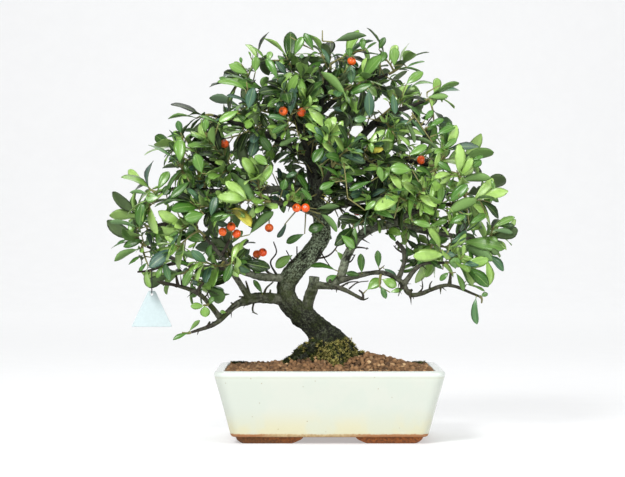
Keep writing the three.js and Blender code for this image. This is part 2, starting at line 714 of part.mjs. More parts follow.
// Leaves stand round a shoot in turn on its three sides, face up and out of the crown as its egg shape
// does, and turn or shrink until they are clear of everything round them.
function placeLeaves() {
  const placed = [];
  const up = new THREE.Vector3(0, 0, 1);
  Object.keys(sprays).forEach((name, n) => {
    stems[name].forEach((points, side) => {
      const tip = points[points.length - 1];
      const outward = tip.clone().sub(vector(crownCentre)).normalize();
      const facing = new THREE.Vector3();
      ['x', 'y', 'z'].forEach((axis, i) => {
        facing[axis] = (tip[axis] - crownCentre[i]) / crownReach[i] ** 2;
      });
      facing.normalize();
      const lone = stems[name].length === 1;
      const shares = side === 0 ? (lone ? loneLeaves : mainLeaves) : sideLeaves;
      const rows = points.map((p) => [p.x, p.y, p.z, 1]);
      const turned = frames(points);
      shares.forEach((share, k) => {
        const start = along(rows, share);
        const { across, other } = turned[start.step];
        for (let turn = 0; turn < 9; turn += 1) {
          const seed = k + 10 * side;
          const third = k + turn + Math.floor(3 * fixed(n, side, 11));
          const azimuth = THREE.MathUtils.degToRad(60 + 120 * third);
          const spread = share === 1 ? 16 : 54 - 4 * Math.floor(turn / 3);
          const open = THREE.MathUtils.degToRad(spread + 14 * (fixed(n, seed, 12) - 0.5));
          const direction = start.direction.clone().multiplyScalar(Math.cos(open))
            .addScaledVector(across, Math.sin(open) * Math.cos(azimuth))
            .addScaledVector(other, Math.sin(open) * Math.sin(azimuth))
            .addScaledVector(outward, 0.25).normalize();
          const normal = up.clone().multiplyScalar(0.5).add(facing);
          normal.x += 0.7 * (fixed(n, seed, 13) - 0.5);
          normal.y += 0.7 * (fixed(n, seed, 14) - 0.5);
          normal.addScaledVector(direction, -normal.dot(direction)).normalize();
          const size = (0.82 + 0.36 * fixed(n, seed, 15)) * (1 - 0.035 * turn) * (lone ? loneLeaf : 1);
          const leaf = {
            owner: name,
            base: start.point.clone().addScaledVector(direction, -0.3)
              .addScaledVector(normal, leafThickness / 2),
            direction,
            normal,
            length: leafLength * size,
            width: leafWidth * size,
          };
          leaf.samples = leafSamples(leaf);
          if (isClear(leaf.samples, name, placed)) {
            placed.push(leaf);
            break;
          }
        }
      });
    });
  });
  return placed;
}

const leaves = placeLeaves();

function spray(name) {
  const shoots = stems[name].map((points, side) => {
    const thick = side === 0 ? stemRadius : stemRadius * 0.75;
    return tube(points.map((p, i) => {
      const radius = THREE.MathUtils.lerp(thick, stemTipRadius, i / (points.length - 1));
      return [p.x, p.y, p.z, radius];
    }), 3);
  });
  return joined([...shoots, ...leaves.filter((leaf) => leaf.owner === name).map(leafBody)]);
}

function bunch(name) {
  const bodies = stalks[name].map((points) => tube(points.map((p) => [p.x, p.y, p.z, stalkRadius]), 3));
  const berries = bunches[name][2].map((middle) => {
    const geometry = new THREE.SphereGeometry(berryRadius, 7, 4);
    geometry.translate(middle[0], middle[1], middle[2]);
    return manifold(geometry);
  });
  return joined([...bodies, ...berries]);
}

function tag() {
  const shape = new THREE.Shape();
  shape.moveTo(-tagWidth / 2 + 1, tagTop - tagHeight);
  shape.lineTo(tagWidth / 2 - 1, tagTop - tagHeight);
  shape.lineTo(tagWidth / 2, tagTop - tagHeight + 1.4);
  shape.lineTo(tagTopWidth / 2, tagTop - 0.8);
  shape.lineTo(tagTopWidth / 2 - 1, tagTop);
  shape.lineTo(-tagTopWidth / 2 + 1, tagTop);
  shape.lineTo(-tagTopWidth / 2, tagTop - 0.8);
  shape.lineTo(-tagWidth / 2, tagTop - tagHeight + 1.4);
  const hole = new THREE.Path();
  hole.absarc(0, tagHoleZ, tagHoleRadius, 0, 2 * Math.PI, true);
  shape.holes.push(hole);
  const geometry = new THREE.ExtrudeGeometry(shape, {
    depth: tagThickness, bevelEnabled: false, curveSegments: 5,
  });
  geometry.rotateX(Math.PI / 2);
  geometry.translate(tagX, tagY + tagThickness / 2, 0);
  return manifold(geometry);
}

// The thread is one loop: through the tag's hole, up both sides and over the twig.
function thread() {
  const low = tagHoleZ + tagHoleRadius - threadRadius - clearance;
  const high = twigRadius + clearance + threadRadius;
  const half = [
    [0, low], [1.1, low + 0.35], [1.5, low + 1.3], [1.7, low + 8], [high, twigZ - 8], [high, twigZ],
  ];
  const crest = [[high * 0.7, twigZ + high * 0.7], [0, twigZ + high]];
  const right = [...half, ...crest];
  const left = right.slice(1, -1).reverse().map(([y, z]) => [-y, z]);
  const loop = [...right, ...left];
  const rings = loop.map(([y, z], i) => {
    const [y0, z0] = loop[(i + loop.length - 1) % loop.length];
    const [y1, z1] = loop[(i + 1) % loop.length];
    const outward = new THREE.Vector3(0, z1 - z0, y0 - y1).normalize();
    return Array.from({ length: 8 }, (_, k) => {
      const angle = (2 * Math.PI * k) / 8;
      return new THREE.Vector3(tagX + threadRadius * Math.sin(angle), tagY + y, z)
        .addScaledVector(outward, threadRadius * Math.cos(angle));
    });
  });
  const positions = rings.flat().flatMap((p) => [p.x, p.y, p.z]);
  const triangles = [];
  rings.forEach((ring, r) => {
    for (let k = 0; k < 8; k += 1) {
      const a = r * 8 + k;
      const b = r * 8 + ((k + 1) % 8);
      const c = ((r + 1) % rings.length) * 8 + k;
      const d = ((r + 1) % rings.length) * 8 + ((k + 1) % 8);
      triangles.push(a, d, b, a, c, d);
    }
  });
  return solid(positions, triangles);
}

function piece(name, body, color, roughness) {
  const material = new THREE.MeshStandardMaterial({ color, roughness, metalness: 0 });
  const mesh = new THREE.Mesh(geometryOf(body), material);
  mesh.name = name;
  return mesh;
}

const group = new THREE.Group();
group.add(piece('pot', pot(), 0xecf0e4, 0.22));
group.add(piece('drain_mesh_left', drainMesh(-drainX), 0x26302a, 0.6));
group.add(piece('drain_mesh_right', drainMesh(drainX), 0x26302a, 0.6));
group.add(piece('soil', soil(), 0x966446, 0.95));
group.add(piece('tree', tree(), 0x5a5347, 0.85));
group.add(piece('tag', tag(), 0xe3edf0, 0.35));
group.add(piece('tag_thread', thread(), 0x3a3d3a, 0.8));
for (const name of Object.keys(sprays)) {
  const shade = fixed(name.length, group.children.length, 21);
  const green = new THREE.Color(0x39501f).lerp(new THREE.Color(0x7c9a3c), shade * shade);
  group.add(piece(name, spray(name), green, 0.35));
}
for (const name of Object.keys(bunches)) {
  group.add(piece(name, bunch(name), 0xd8491e, 0.3));
}

group.updateMatrixWorld(true);
const bounds = new THREE.Box3().setFromObject(group);
const origin = bounds.getCenter(new THREE.Vector3()).setZ(bounds.min.z);
group.children.forEach((mesh) => mesh.position.sub(origin));

export default group;
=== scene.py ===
import bpy
import math
import mathutils
import numpy as np
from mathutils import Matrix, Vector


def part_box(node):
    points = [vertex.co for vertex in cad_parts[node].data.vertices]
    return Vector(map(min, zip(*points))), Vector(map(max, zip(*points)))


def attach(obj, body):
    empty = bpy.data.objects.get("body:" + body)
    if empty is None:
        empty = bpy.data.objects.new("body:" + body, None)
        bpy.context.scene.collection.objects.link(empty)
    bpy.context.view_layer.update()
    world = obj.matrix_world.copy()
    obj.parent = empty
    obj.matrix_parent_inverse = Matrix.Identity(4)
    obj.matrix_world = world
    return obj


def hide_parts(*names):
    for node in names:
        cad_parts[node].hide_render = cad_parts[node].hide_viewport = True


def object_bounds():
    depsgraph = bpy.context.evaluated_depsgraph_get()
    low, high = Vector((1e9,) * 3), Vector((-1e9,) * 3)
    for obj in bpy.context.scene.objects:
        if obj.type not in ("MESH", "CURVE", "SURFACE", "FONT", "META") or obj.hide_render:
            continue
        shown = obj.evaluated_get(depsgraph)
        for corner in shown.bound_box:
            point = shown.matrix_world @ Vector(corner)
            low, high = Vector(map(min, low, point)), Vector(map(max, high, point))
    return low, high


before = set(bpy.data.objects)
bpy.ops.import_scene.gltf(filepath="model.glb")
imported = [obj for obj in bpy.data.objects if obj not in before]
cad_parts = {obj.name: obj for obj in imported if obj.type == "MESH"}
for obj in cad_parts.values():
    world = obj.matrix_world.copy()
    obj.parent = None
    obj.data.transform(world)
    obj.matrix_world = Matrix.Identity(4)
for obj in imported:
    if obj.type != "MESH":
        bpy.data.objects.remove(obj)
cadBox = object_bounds()
print("solids loaded")

# All shapes are worked out in millimetres round the middle of the pot's underside, as the solids were,
# and moved to the solids' own origin when they become meshes.
potLow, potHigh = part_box("pot")
potMiddle = np.array([(potLow[0] + potHigh[0]) / 2, (potLow[1] + potHigh[1]) / 2, 0.0]) * 1000
boxLow = np.array(cadBox[0]) * 1000 - potMiddle
boxHigh = np.array(cadBox[1]) * 1000 - potMiddle

# camera, level with the middle of the crown, a little left of the pot's middle
cameraValues = {
    "place": (-17.0, -2185.0, 205.2), "focalPixels": 2123.0, "widthPixels": 625.0, "heightPixels": 477.0,
}
cameraData = bpy.data.cameras.new("camera")
cameraData.sensor_fit = "HORIZONTAL"
cameraData.sensor_width = 36.0
cameraData.lens = 36.0 * cameraValues["focalPixels"] / cameraValues["widthPixels"]
cameraData.clip_end = 20.0
camera = bpy.data.objects.new("camera", cameraData)
camera.location = (np.array(cameraValues["place"]) + potMiddle) / 1000
camera.rotation_euler = (math.radians(90), 0, 0)
bpy.context.scene.collection.objects.link(camera)
bpy.context.scene.camera = camera


def unit(v):
    return v / np.maximum(np.linalg.norm(v, axis=-1, keepdims=True), 1e-12)


def fixed(a, b, c=0):
    # a settled draw between 0 and 1: the fraction of a large sine
    value = math.sin(a * 12.9898 + b * 78.233 + c * 37.719) * 43758.5453
    return value - math.floor(value)


def cellNoise(p, seed=0):
    # smooth noise from -1 to 1: eight hashed corners of each unit cell, blended by 3f^2 - 2f^3
    cell = np.floor(p).astype(np.int64)
    f = p - cell
    f = f * f * (3 - 2 * f)
    total = np.zeros(p.shape[:-1])
    for dx in (0, 1):
        for dy in (0, 1):
            for dz in (0, 1):
                h = (cell[..., 0] + dx) * 73856093 ^ (cell[..., 1] + dy) * 19349663
                h = h ^ (cell[..., 2] + dz) * 83492791 ^ (seed + 7) * 2654435761
                h = (h ^ (h >> 13)) * 1274126177
                h = (h ^ (h >> 16)) & 0xFFFFFF
                wx = f[..., 0] if dx else 1 - f[..., 0]
                wy = f[..., 1] if dy else 1 - f[..., 1]
                wz = f[..., 2] if dz else 1 - f[..., 2]
                total += wx * wy * wz * (h / 0x7FFFFF - 1)
    return total


def addPiece(name, points, quads=None, tris=None, materials=(), slots=None, data=None):
    # one mesh from arrays in millimetres; data holds face-corner colours and UVs by name
    parts = [np.asarray(f, dtype=np.int32) for f in (quads, tris) if f is not None and len(f)]
    loops = np.concatenate([f.ravel() for f in parts])
    sizes = np.concatenate([np.full(len(f), f.shape[1], dtype=np.int32) for f in parts])
    starts = np.concatenate([[0], np.cumsum(sizes)[:-1]]).astype(np.int32)
    mesh = bpy.data.meshes.new(name)
    mesh.vertices.add(len(points))
    mesh.vertices.foreach_set("co", ((points + potMiddle) / 1000).astype(np.float32).ravel())
    mesh.loops.add(len(loops))
    mesh.loops.foreach_set("vertex_index", loops)
    mesh.polygons.add(len(sizes))
    mesh.polygons.foreach_set("loop_start", starts)
    mesh.polygons.foreach_set("use_smooth", np.ones(len(sizes), dtype=bool))
    for material in materials:
        mesh.materials.append(material)
    if slots is not None:
        mesh.polygons.foreach_set("material_index", slots.astype(np.int32))
    mesh.update(calc_edges=True)
    for key, values in (data or {}).items():
        if values.shape[1] == 2:
            layer = mesh.uv_layers.new(name=key)
            layer.data.foreach_set("uv", values[loops].astype(np.float32).ravel())
        else:
            layer = mesh.color_attributes.new(name=key, type="FLOAT_COLOR", domain="CORNER")
            layer.data.foreach_set("color", values[loops].astype(np.float32).ravel())
    obj = bpy.data.objects.new(name, mesh)
    bpy.context.scene.collection.objects.link(obj)
    return obj


def gridFaces(rows, columns, wrap=True, start=0):
    # quads of a grid of points stored row by row; wrap joins the last column to the first
    r = np.arange(rows - 1)[:, None]
    c = np.arange(columns if wrap else columns - 1)[None, :]
    a = r * columns + c
    b = r * columns + (c + 1) % columns
    return (np.stack([a, b, b + columns, a + columns], axis=-1) + start).reshape(-1, 4)


def capFaces(columns, start, middle, flip=False):
    # triangles from a ring to the point in its middle
    c = np.arange(columns)
    ring = np.stack([start + c, start + (c + 1) % columns, np.full(columns, middle)], axis=-1)
    return ring[:, ::-1] if flip else ring


def outwards(points, quads, tris):
    # turns a closed surface right side out where its signed volume is negative
    def volume(faces, order):
        a, b, c = (points[faces[:, i]] for i in order)
        return np.einsum("ij,ij->", a, np.cross(b, c))
    total = volume(tris, (0, 1, 2)) if len(tris) else 0.0
    if len(quads):
        total += volume(quads, (0, 1, 2)) + volume(quads, (0, 2, 3))
    return (quads, tris) if total >= 0 else (quads[:, ::-1], tris[:, ::-1])


def loftSolid(rings, middles=None):
    # a closed surface through rings of equal count, each end closed by a fan round its middle
    rings = np.asarray(rings, dtype=float)
    count, columns = rings.shape[:2]
    if middles is None:
        middles = (rings[0].mean(0), rings[-1].mean(0))
    points = np.concatenate([rings.reshape(-1, 3), np.array(middles)])
    total = count * columns
    tris = np.concatenate([capFaces(columns, 0, total, True), capFaces(columns, total - columns, total + 1)])
    quads, tris = outwards(points, gridFaces(count, columns), tris)
    return points, quads, tris


def closedGrid(rings):
    # a closed surface through rings, the last of which joins the first
    rows, columns = rings.shape[:2]
    points = rings.reshape(-1, 3)
    quads = gridFaces(rows + 1, columns) % len(points)
    return points, *outwards(points, quads, np.zeros((0, 3), dtype=int))


def repeated(faces, count, size):
    # the faces of one small body, once for each of many bodies of that many points
    return (faces[None] + (np.arange(count) * size)[:, None, None]).reshape(-1, faces.shape[1])


def newHeap():
    # gathers several closed surfaces into one piece
    lists = {key: [] for key in ("points", "quads", "tris", "quadSlots", "triSlots", "tint", "uv")}
    return {**lists, "count": 0}


def pile(heap, points, quads, tris, slot=0, tint=(0.5, 0.0, 0.0, 1.0), uv=None, triSlot=None):
    heap["points"].append(points)
    heap["tint"].append(np.broadcast_to(np.asarray(tint, dtype=float), (len(points), 4)))
    heap["uv"].append(np.zeros((len(points), 2)) if uv is None else uv)
    heap["quads"].append(np.asarray(quads).reshape(-1, 4) + heap["count"])
    heap["tris"].append(np.asarray(tris).reshape(-1, 3) + heap["count"])
    heap["quadSlots"].append(np.broadcast_to(slot, len(quads)))
    heap["triSlots"].append(np.broadcast_to(slot if triSlot is None else triSlot, len(tris)))
    heap["count"] += len(points)


def heapPiece(heap, name, materials, tintName, uvName=None):
    slots = np.concatenate(heap["quadSlots"] + heap["triSlots"])
    data = {tintName: np.concatenate(heap["tint"])}
    if uvName:
        data[uvName] = np.concatenate(heap["uv"])
    points, quads, tris = (np.concatenate(heap[key]) for key in ("points", "quads", "tris"))
    return addPiece(name, points, quads, tris, materials, slots, data)


def frames(points):
    # at each point of a centre line: the direction along it and two across it, without twist
    points = np.asarray(points, dtype=float)
    before = np.concatenate([points[:1], points[:-1]])
    after = np.concatenate([points[1:], points[-1:]])
    tangents = unit(after - before)
    across = np.array([0.0, 1.0, 0.0]) if abs(tangents[0][1]) < 0.8 else np.array([1.0, 0.0, 0.0])
    carried = []
    for tangent in tangents:
        across = unit(across - tangent * across.dot(tangent))
        carried.append(across)
    carried = np.array(carried)
    return tangents, carried, np.cross(tangents, carried)


def aroundLine(angle, across, other):
    # directions that lie at an angle round each point of a line
    return np.cos(angle)[..., None] * across[:, None] + np.sin(angle)[..., None] * other[:, None]


def turnOf(sides):
    return 2 * np.pi * np.arange(sides)[None, :] / sides


def tubeSurface(points, radii, sides):
    # rings of a radius round each point of a path, closed at both ends
    points = np.asarray(points, dtype=float)
    radii = np.asarray(radii, dtype=float)
    tangents, across, other = frames(points)
    ring = aroundLine(turnOf(sides), across, other)
    radius = radii[:, None, None] if radii.ndim == 1 else radii[:, :, None]
    return loftSolid(points[:, None] + radius * ring)


def lineLength(points):
    return np.linalg.norm(np.diff(points, axis=0), axis=1).sum()


def lengthsAlong(points):
    # how far along a line each of its points lies
    return np.concatenate([[0], np.cumsum(np.linalg.norm(np.diff(points, axis=0), axis=1))])


def smoothRows(rows, spacing):
    # the rows of a centre line as a cubic through them, sampled at even steps
    rows = np.asarray(rows, dtype=float)
    lengths = lengthsAlong(rows[:, :3])
    slopes = np.gradient(rows, lengths, axis=0)
    count = max(int(lengths[-1] / spacing), 3)
    s = np.linspace(0, lengths[-1], count + 1)
    i = np.clip(np.searchsorted(lengths, s, side="right") - 1, 0, len(rows) - 2)
    h = (lengths[i + 1] - lengths[i])[:, None]
    t = ((s - lengths[i]) / h[:, 0])[:, None]
    value = (rows[i] * (2 * t**3 - 3 * t**2 + 1) + slopes[i] * h * (t**3 - 2 * t**2 + t)
             + rows[i + 1] * (3 * t**2 - 2 * t**3) + slopes[i + 1] * h * (t**3 - t**2))
    return value, s


def newMaterial(name):
    material = bpy.data.materials.new(name)
    material.use_nodes = True
    tree = material.node_tree
    return material, tree, tree.nodes["Principled BSDF"]


def put(tree, kind, **values):
    node = tree.nodes.new(kind)
    for key, value in values.items():
        setattr(node, key, value)
    return node


def feed(tree, socket, value):
    # links another node's output, or sets a number or a colour given as it is seen on screen
    if isinstance(value, bpy.types.NodeSocket):
        tree.links.new(value, socket)
    else:
        socket.default_value = colour(*value) if isinstance(value, tuple) else value


def mixColour(tree, factor, first, second):
    node = put(tree, "ShaderNodeMix", data_type="RGBA")
    for socket, value in ((0, factor), (6, first), (7, second)):
        feed(tree, node.inputs[socket], value)
    return node.outputs[2]


def band(tree, value, low, high, toLow=0.0, toHigh=1.0):
    node = put(tree, "ShaderNodeMapRange", interpolation_type="SMOOTHSTEP")
    tree.links.new(value, node.inputs["Value"])
    for key, number in (("From Min", low), ("From Max", high), ("To Min", toLow), ("To Max", toHigh)):
        node.inputs[key].default_value = number
    return node.outputs["Result"]


def maths(tree, kind, *values):
    node = put(tree, "ShaderNodeMath", operation=kind)
    for socket, value in zip(node.inputs, values):
        feed(tree, socket, value)
    return node.outputs[0]


def split(tree, kind, value):
    node = put(tree, kind)
    tree.links.new(value, node.inputs[0])
    return node


def ownDraws(tree, name):
    # the numbers that each small body of a piece carries as its vertex colour
    tint = put(tree, "ShaderNodeVertexColor", layer_name=name)
    return split(tree, "ShaderNodeSeparateColor", tint.outputs["Color"])


def rampColour(tree, value, stops):
    # a ramp through colours given at places from 0 to 1, the first at 0 and the last at 1
    ramp = put(tree, "ShaderNodeValToRGB")
    elements = ramp.color_ramp.elements
    for position, shade in stops[1:-1]:
        elements.new(position)
    for element, (position, shade) in zip(elements, stops):
        element.color = colour(*shade)
    tree.links.new(value, ramp.inputs[0])
    return ramp.outputs[0]


def colour(r, g, b):
    # a colour as seen on screen, 0 to 255, to the values that a shader takes
    return tuple(c / 12.92 if c <= 0.04045 else ((c + 0.055) / 1.055) ** 2.4
                 for c in (r / 255, g / 255, b / 255)) + (1.0,)


def mottleGroup():
    # shared by bark, soil, berries and clay: a patchy mask and a fine one from the place on the piece
    tree = bpy.data.node_groups.new("mottle", "ShaderNodeTree")
    face = tree.interface
    face.new_socket("Place", in_out="INPUT", socket_type="NodeSocketVector")
    face.new_socket("Patch size", in_out="INPUT", socket_type="NodeSocketFloat")
    face.new_socket("Grain size", in_out="INPUT", socket_type="NodeSocketFloat")
    for name in ("Patches", "Grain", "Relief"):
        face.new_socket(name, in_out="OUTPUT", socket_type="NodeSocketFloat")
    start = put(tree, "NodeGroupInput")
    end = put(tree, "NodeGroupOutput")
    values = []
    for key, detail in (("Patch size", 3.0), ("Grain size", 6.0)):
        scale = put(tree, "ShaderNodeMath", operation="DIVIDE")
        scale.inputs[0].default_value = 1.0
        tree.links.new(start.outputs[key], scale.inputs[1])
        noise = put(tree, "ShaderNodeTexNoise")
        noise.inputs["Detail"].default_value = detail
        noise.inputs["Roughness"].default_value = 0.62
        tree.links.new(start.outputs["Place"], noise.inputs["Vector"])
        tree.links.new(scale.outputs[0], noise.inputs["Scale"])
        values.append(noise.outputs["Fac"])
    tree.links.new(band(tree, values[0], 0.42, 0.62), end.inputs["Patches"])
    tree.links.new(band(tree, values[1], 0.3, 0.7), end.inputs["Grain"])
    tree.links.new(maths(tree, "MULTIPLY_ADD", values[0], 0.4, values[1]), end.inputs["Relief"])
    return tree


mottle = mottleGroup()


def placeMottle(tree, patch, grain):
    place = put(tree, "ShaderNodeTexCoord").outputs["Object"]
    node = put(tree, "ShaderNodeGroup", node_tree=mottle)
    tree.links.new(place, node.inputs["Place"])
    node.inputs["Patch size"].default_value = patch
    node.inputs["Grain size"].default_value = grain
    return node, place


def addBump(tree, shader, height, strength, distance):
    bump = put(tree, "ShaderNodeBump")
    bump.inputs["Strength"].default_value = strength
    bump.inputs["Distance"].default_value = distance
    tree.links.new(height, bump.inputs["Height"])
    feed(tree, shader.inputs["Normal"], bump.outputs["Normal"])


def glazeMaterial():
    # cream glaze, thinner and yellower to the foot, a pale rim partly painted highlight with a painted shadow
    # line under its roll, bare clay and stained feet below, the left feet darker with painted shade
    material, tree, shader = newMaterial("glaze")
    node, place = placeMottle(tree, 0.05, 0.0022)
    height = split(tree, "ShaderNodeSeparateXYZ", place)
    z = height.outputs["Z"]
    glaze = mixColour(tree, band(tree, z, 0.010, 0.040), (193, 189, 158), (189, 193, 183))
    patches = band(tree, node.outputs["Patches"], 0, 1, 0, 0.5)
    glaze = mixColour(tree, patches, glaze, (183, 191, 181))
    # the rim paler, partly the glaze's own colour and partly painted highlight
    glaze = mixColour(tree, band(tree, z, 0.0672, 0.0695), glaze, (198, 204, 198))
    # painted shadow: a thin darker line under the rim's roll
    line = band(tree, z, 0.0674, 0.0684, 1, 0)
    rimShadowLow = band(tree, z, 0.0655, 0.0670, 0, 0.3)
    both = maths(tree, "MULTIPLY", line, rimShadowLow)
    glaze = mixColour(tree, both, glaze, (178, 178, 156))
    pits = put(tree, "ShaderNodeTexVoronoi")
    pits.inputs["Scale"].default_value = 85.0
    tree.links.new(place, pits.inputs["Vector"])
    pitted = band(tree, pits.outputs["Distance"], 0.035, 0.055, 0.75, 0)
    glaze = mixColour(tree, pitted, glaze, (140, 116, 84))
    bare = mixColour(tree, node.outputs["Grain"], (158, 130, 90), (186, 164, 124))
    corners = band(tree, maths(tree, "ABSOLUTE", height.outputs["X"]), 0.03, 0.06, 0, 0.75)
    bare = mixColour(tree, corners, bare, (150, 88, 44))
    edge = maths(tree, "MULTIPLY_ADD", node.outputs["Relief"], 0.0022, z)
    glazed = band(tree, edge, 0.0112, 0.0122)
    skin = mixColour(tree, glazed, bare, glaze)
    clay = mixColour(tree, node.outputs["Grain"], (90, 44, 6), (160, 88, 28))
    # dark green stains on the feet, with painted shade making the left feet darker
    stainAndShade = band(tree, height.outputs["X"], -0.05, 0.02, 0.6, 0.1)
    stainAndShade = maths(tree, "MULTIPLY", stainAndShade, band(tree, node.outputs["Patches"], 0, 1, 0.6, 1))
    clay = mixColour(tree, stainAndShade, clay, (48, 44, 10))
    footed = band(tree, z, 0.0069, 0.0076)
    skin = mixColour(tree, footed, clay, skin)
    feed(tree, shader.inputs["Base Color"], skin)
    feed(tree, shader.inputs["Roughness"], band(tree, glazed, 0, 1, 0.8, 0.16))
    addBump(tree, shader, node.outputs["Relief"], 0.12, 0.0006)
    return material


def soilMaterial():
    # clay grains: red brown to tan by each grain's own draw, dusty on the raised spots; the bed under them
    # painted dark as painted shade in the gaps
    material, tree, shader = newMaterial("soil")
    node, place = placeMottle(tree, 0.004, 0.0007)
    draw = ownDraws(tree, "grainTint")
    stops = ((0.0, (42, 24, 10)), (0.36, (90, 60, 36)), (0.7, (133, 97, 65)), (0.9, (166, 130, 92)),
             (1.0, (204, 172, 130)))
    clay = rampColour(tree, draw.outputs["Red"], stops)
    dust = band(tree, node.outputs["Grain"], 0, 1, 0, 0.45)
    shade = mixColour(tree, dust, clay, (150, 118, 78))
    # painted shade: the bed under the grains made dark, as the shade in the gaps between them; the darker
    # grains are their own tone
    shade = mixColour(tree, draw.outputs["Green"], shade, (36, 24, 18))
    feed(tree, shader.inputs["Base Color"], shade)
    feed(tree, shader.inputs["Roughness"], 0.93)
    addBump(tree, shader, node.outputs["Relief"], 0.5, 0.0006)
    return material


def barkMaterial():
    # grey-brown bark by thickness and height: painted shade, nearly black, above the moss, green at the bend,
    # frosty with lichen above it, paler grey on branches, brown on thin twigs and painted shade, dark again,
    # in the crown
    material, tree, shader = newMaterial("bark")
    node, place = placeMottle(tree, 0.012, 0.0042)
    draw = ownDraws(tree, "barkTint")
    height = split(tree, "ShaderNodeSeparateXYZ", place)
    z = height.outputs["Z"]
    wood = mixColour(tree, node.outputs["Grain"], (22, 22, 15), (64, 65, 47))
    middle = maths(tree, "MULTIPLY", band(tree, draw.outputs["Blue"], 0.3, 1, 0.75, 0),
                   band(tree, node.outputs["Relief"], 0.45, 0.9))
    wood = mixColour(tree, middle, wood, (132, 134, 118))
    speck = put(tree, "ShaderNodeTexNoise")
    speck.inputs["Scale"].default_value = 520.0
    speck.inputs["Detail"].default_value = 6.0
    speck.inputs["Roughness"].default_value = 0.72
    tree.links.new(place, speck.inputs["Vector"])
    frost = maths(tree, "MULTIPLY", band(tree, speck.outputs["Fac"], 0.42, 0.62), draw.outputs["Blue"])
    frost = maths(tree, "MULTIPLY", frost, band(tree, z, 0.152, 0.182, 0.2, 1))
    wood = mixColour(tree, frost, wood, (150, 166, 136))
    wood = mixColour(tree, draw.outputs["Red"], wood, (50, 44, 38))
    crack = band(tree, draw.outputs["Green"], 0.12, 0.5, 0.92, 0)
    wood = mixColour(tree, crack, wood, (16, 14, 11))
    mossy = maths(tree, "MULTIPLY", band(tree, z, 0.130, 0.185, 0.9, 0), node.outputs["Patches"])
    wood = mixColour(tree, mossy, wood, (48, 58, 20))
    # painted shade: the trunk near black above the moss, by height
    foot = maths(tree, "MULTIPLY", band(tree, z, 0.120, 0.150, 1, 0.15), draw.outputs["Blue"])
    foot = maths(tree, "MULTIPLY", foot, band(tree, speck.outputs["Fac"], 0.42, 0.6, 1, 0.35))
    wood = mixColour(tree, foot, wood, (9, 9, 5))
    # painted shade: wood dark inside the crown, by height
    high = band(tree, z, 0.215, 0.265, 0, 0.75)
    wood = mixColour(tree, high, wood, (16, 13, 11))
    feed(tree, shader.inputs["Base Color"], wood)
    feed(tree, shader.inputs["Roughness"], 0.88)
    feed(tree, shader.inputs["Specular IOR Level"], 0.25)
    relief = maths(tree, "MULTIPLY_ADD", speck.outputs["Fac"], 0.6, node.outputs["Relief"])
    addBump(tree, shader, relief, 1.0, 0.0011)
    return material


def leafColours(tree):
    # green by each leaf's own draw, from old and dark to young and yellowish, a little patchy; the draw also
    # holds painted shade inside the crown and painted light on the front
    draw = ownDraws(tree, "leafTint")
    stops = ((0.0, (5, 13, 3)), (0.2, (20, 46, 11)), (0.42, (64, 110, 36)), (0.68, (124, 164, 70)),
             (0.9, (152, 186, 96)), (1.0, (206, 186, 70)))
    green = rampColour(tree, draw.outputs["Red"], stops)
    node, place = placeMottle(tree, 0.008, 0.0012)
    patch = band(tree, node.outputs["Patches"], 0, 1, 0, 0.2)
    green = mixColour(tree, patch, green, (70, 98, 34))
    bloom = band(tree, draw.outputs["Green"], 0, 1, 0, 0.5)
    return mixColour(tree, bloom, green, (84, 118, 108)), draw, node


def leafMaterial():
    # glossy upper side with a paler rib and faint slanting veins
    material, tree, shader = newMaterial("leaf")
    green, draw, node = leafColours(tree)
    uv = put(tree, "ShaderNodeUVMap", uv_map="blade")
    across = split(tree, "ShaderNodeSeparateXYZ", uv.outputs[0])
    shift = maths(tree, "SUBTRACT", across.outputs["Y"], 0.5)
    fromRib = maths(tree, "ABSOLUTE", shift)
    rib = band(tree, fromRib, 0.01, 0.045, 0.32, 0)
    slant = maths(tree, "MULTIPLY_ADD", fromRib, -0.55, across.outputs["X"])
    veins = band(tree, maths(tree, "SINE", maths(tree, "MULTIPLY", slant, 62.0)), 0.8, 1, 0, 0.1)
    marks = maths(tree, "MAXIMUM", rib, veins)
    skin = mixColour(tree, marks, green, (160, 188, 112))
    feed(tree, shader.inputs["Base Color"], skin)
    feed(tree, shader.inputs["Roughness"], band(tree, node.outputs["Grain"], 0, 1, 0.3, 0.42))
    feed(tree, shader.inputs["Coat Weight"], band(tree, draw.outputs["Red"], 0.15, 0.6, 0.03, 0.8))
    feed(tree, shader.inputs["Specular IOR Level"], 0.25)
    feed(tree, shader.inputs["Coat Roughness"], 0.28)
    addBump(tree, shader, marks, 0.2, 0.0004)
    return material


def leafUnderMaterial():
    # matt, paler and greyer underside
    material, tree, shader = newMaterial("leafUnder")
    green, draw, node = leafColours(tree)
    feed(tree, shader.inputs["Base Color"], mixColour(tree, 0.35, green, (128, 150, 104)))
    feed(tree, shader.inputs["Roughness"], 0.62)
    feed(tree, shader.inputs["Specular IOR Level"], 0.25)
    addBump(tree, shader, node.outputs["Grain"], 0.15, 0.0003)
    return material


def berryMaterial():
    # orange-red skin, lighter or darker by each berry's own draw, a little patchy, with the dark dry end
    material, tree, shader = newMaterial("berry")
    draw = ownDraws(tree, "berryTint")
    node, place = placeMottle(tree, 0.004, 0.0006)
    skin = mixColour(tree, draw.outputs["Red"], (222, 58, 20), (248, 124, 40))
    skin = mixColour(tree, band(tree, node.outputs["Patches"], 0, 1, 0, 0.25), skin, (186, 40, 16))
    skin = mixColour(tree, draw.outputs["Green"], skin, (58, 34, 22))
    feed(tree, shader.inputs["Base Color"], skin)
    feed(tree, shader.inputs["Roughness"], 0.28)
    addBump(tree, shader, node.outputs["Relief"], 0.1, 0.0003)
    return material


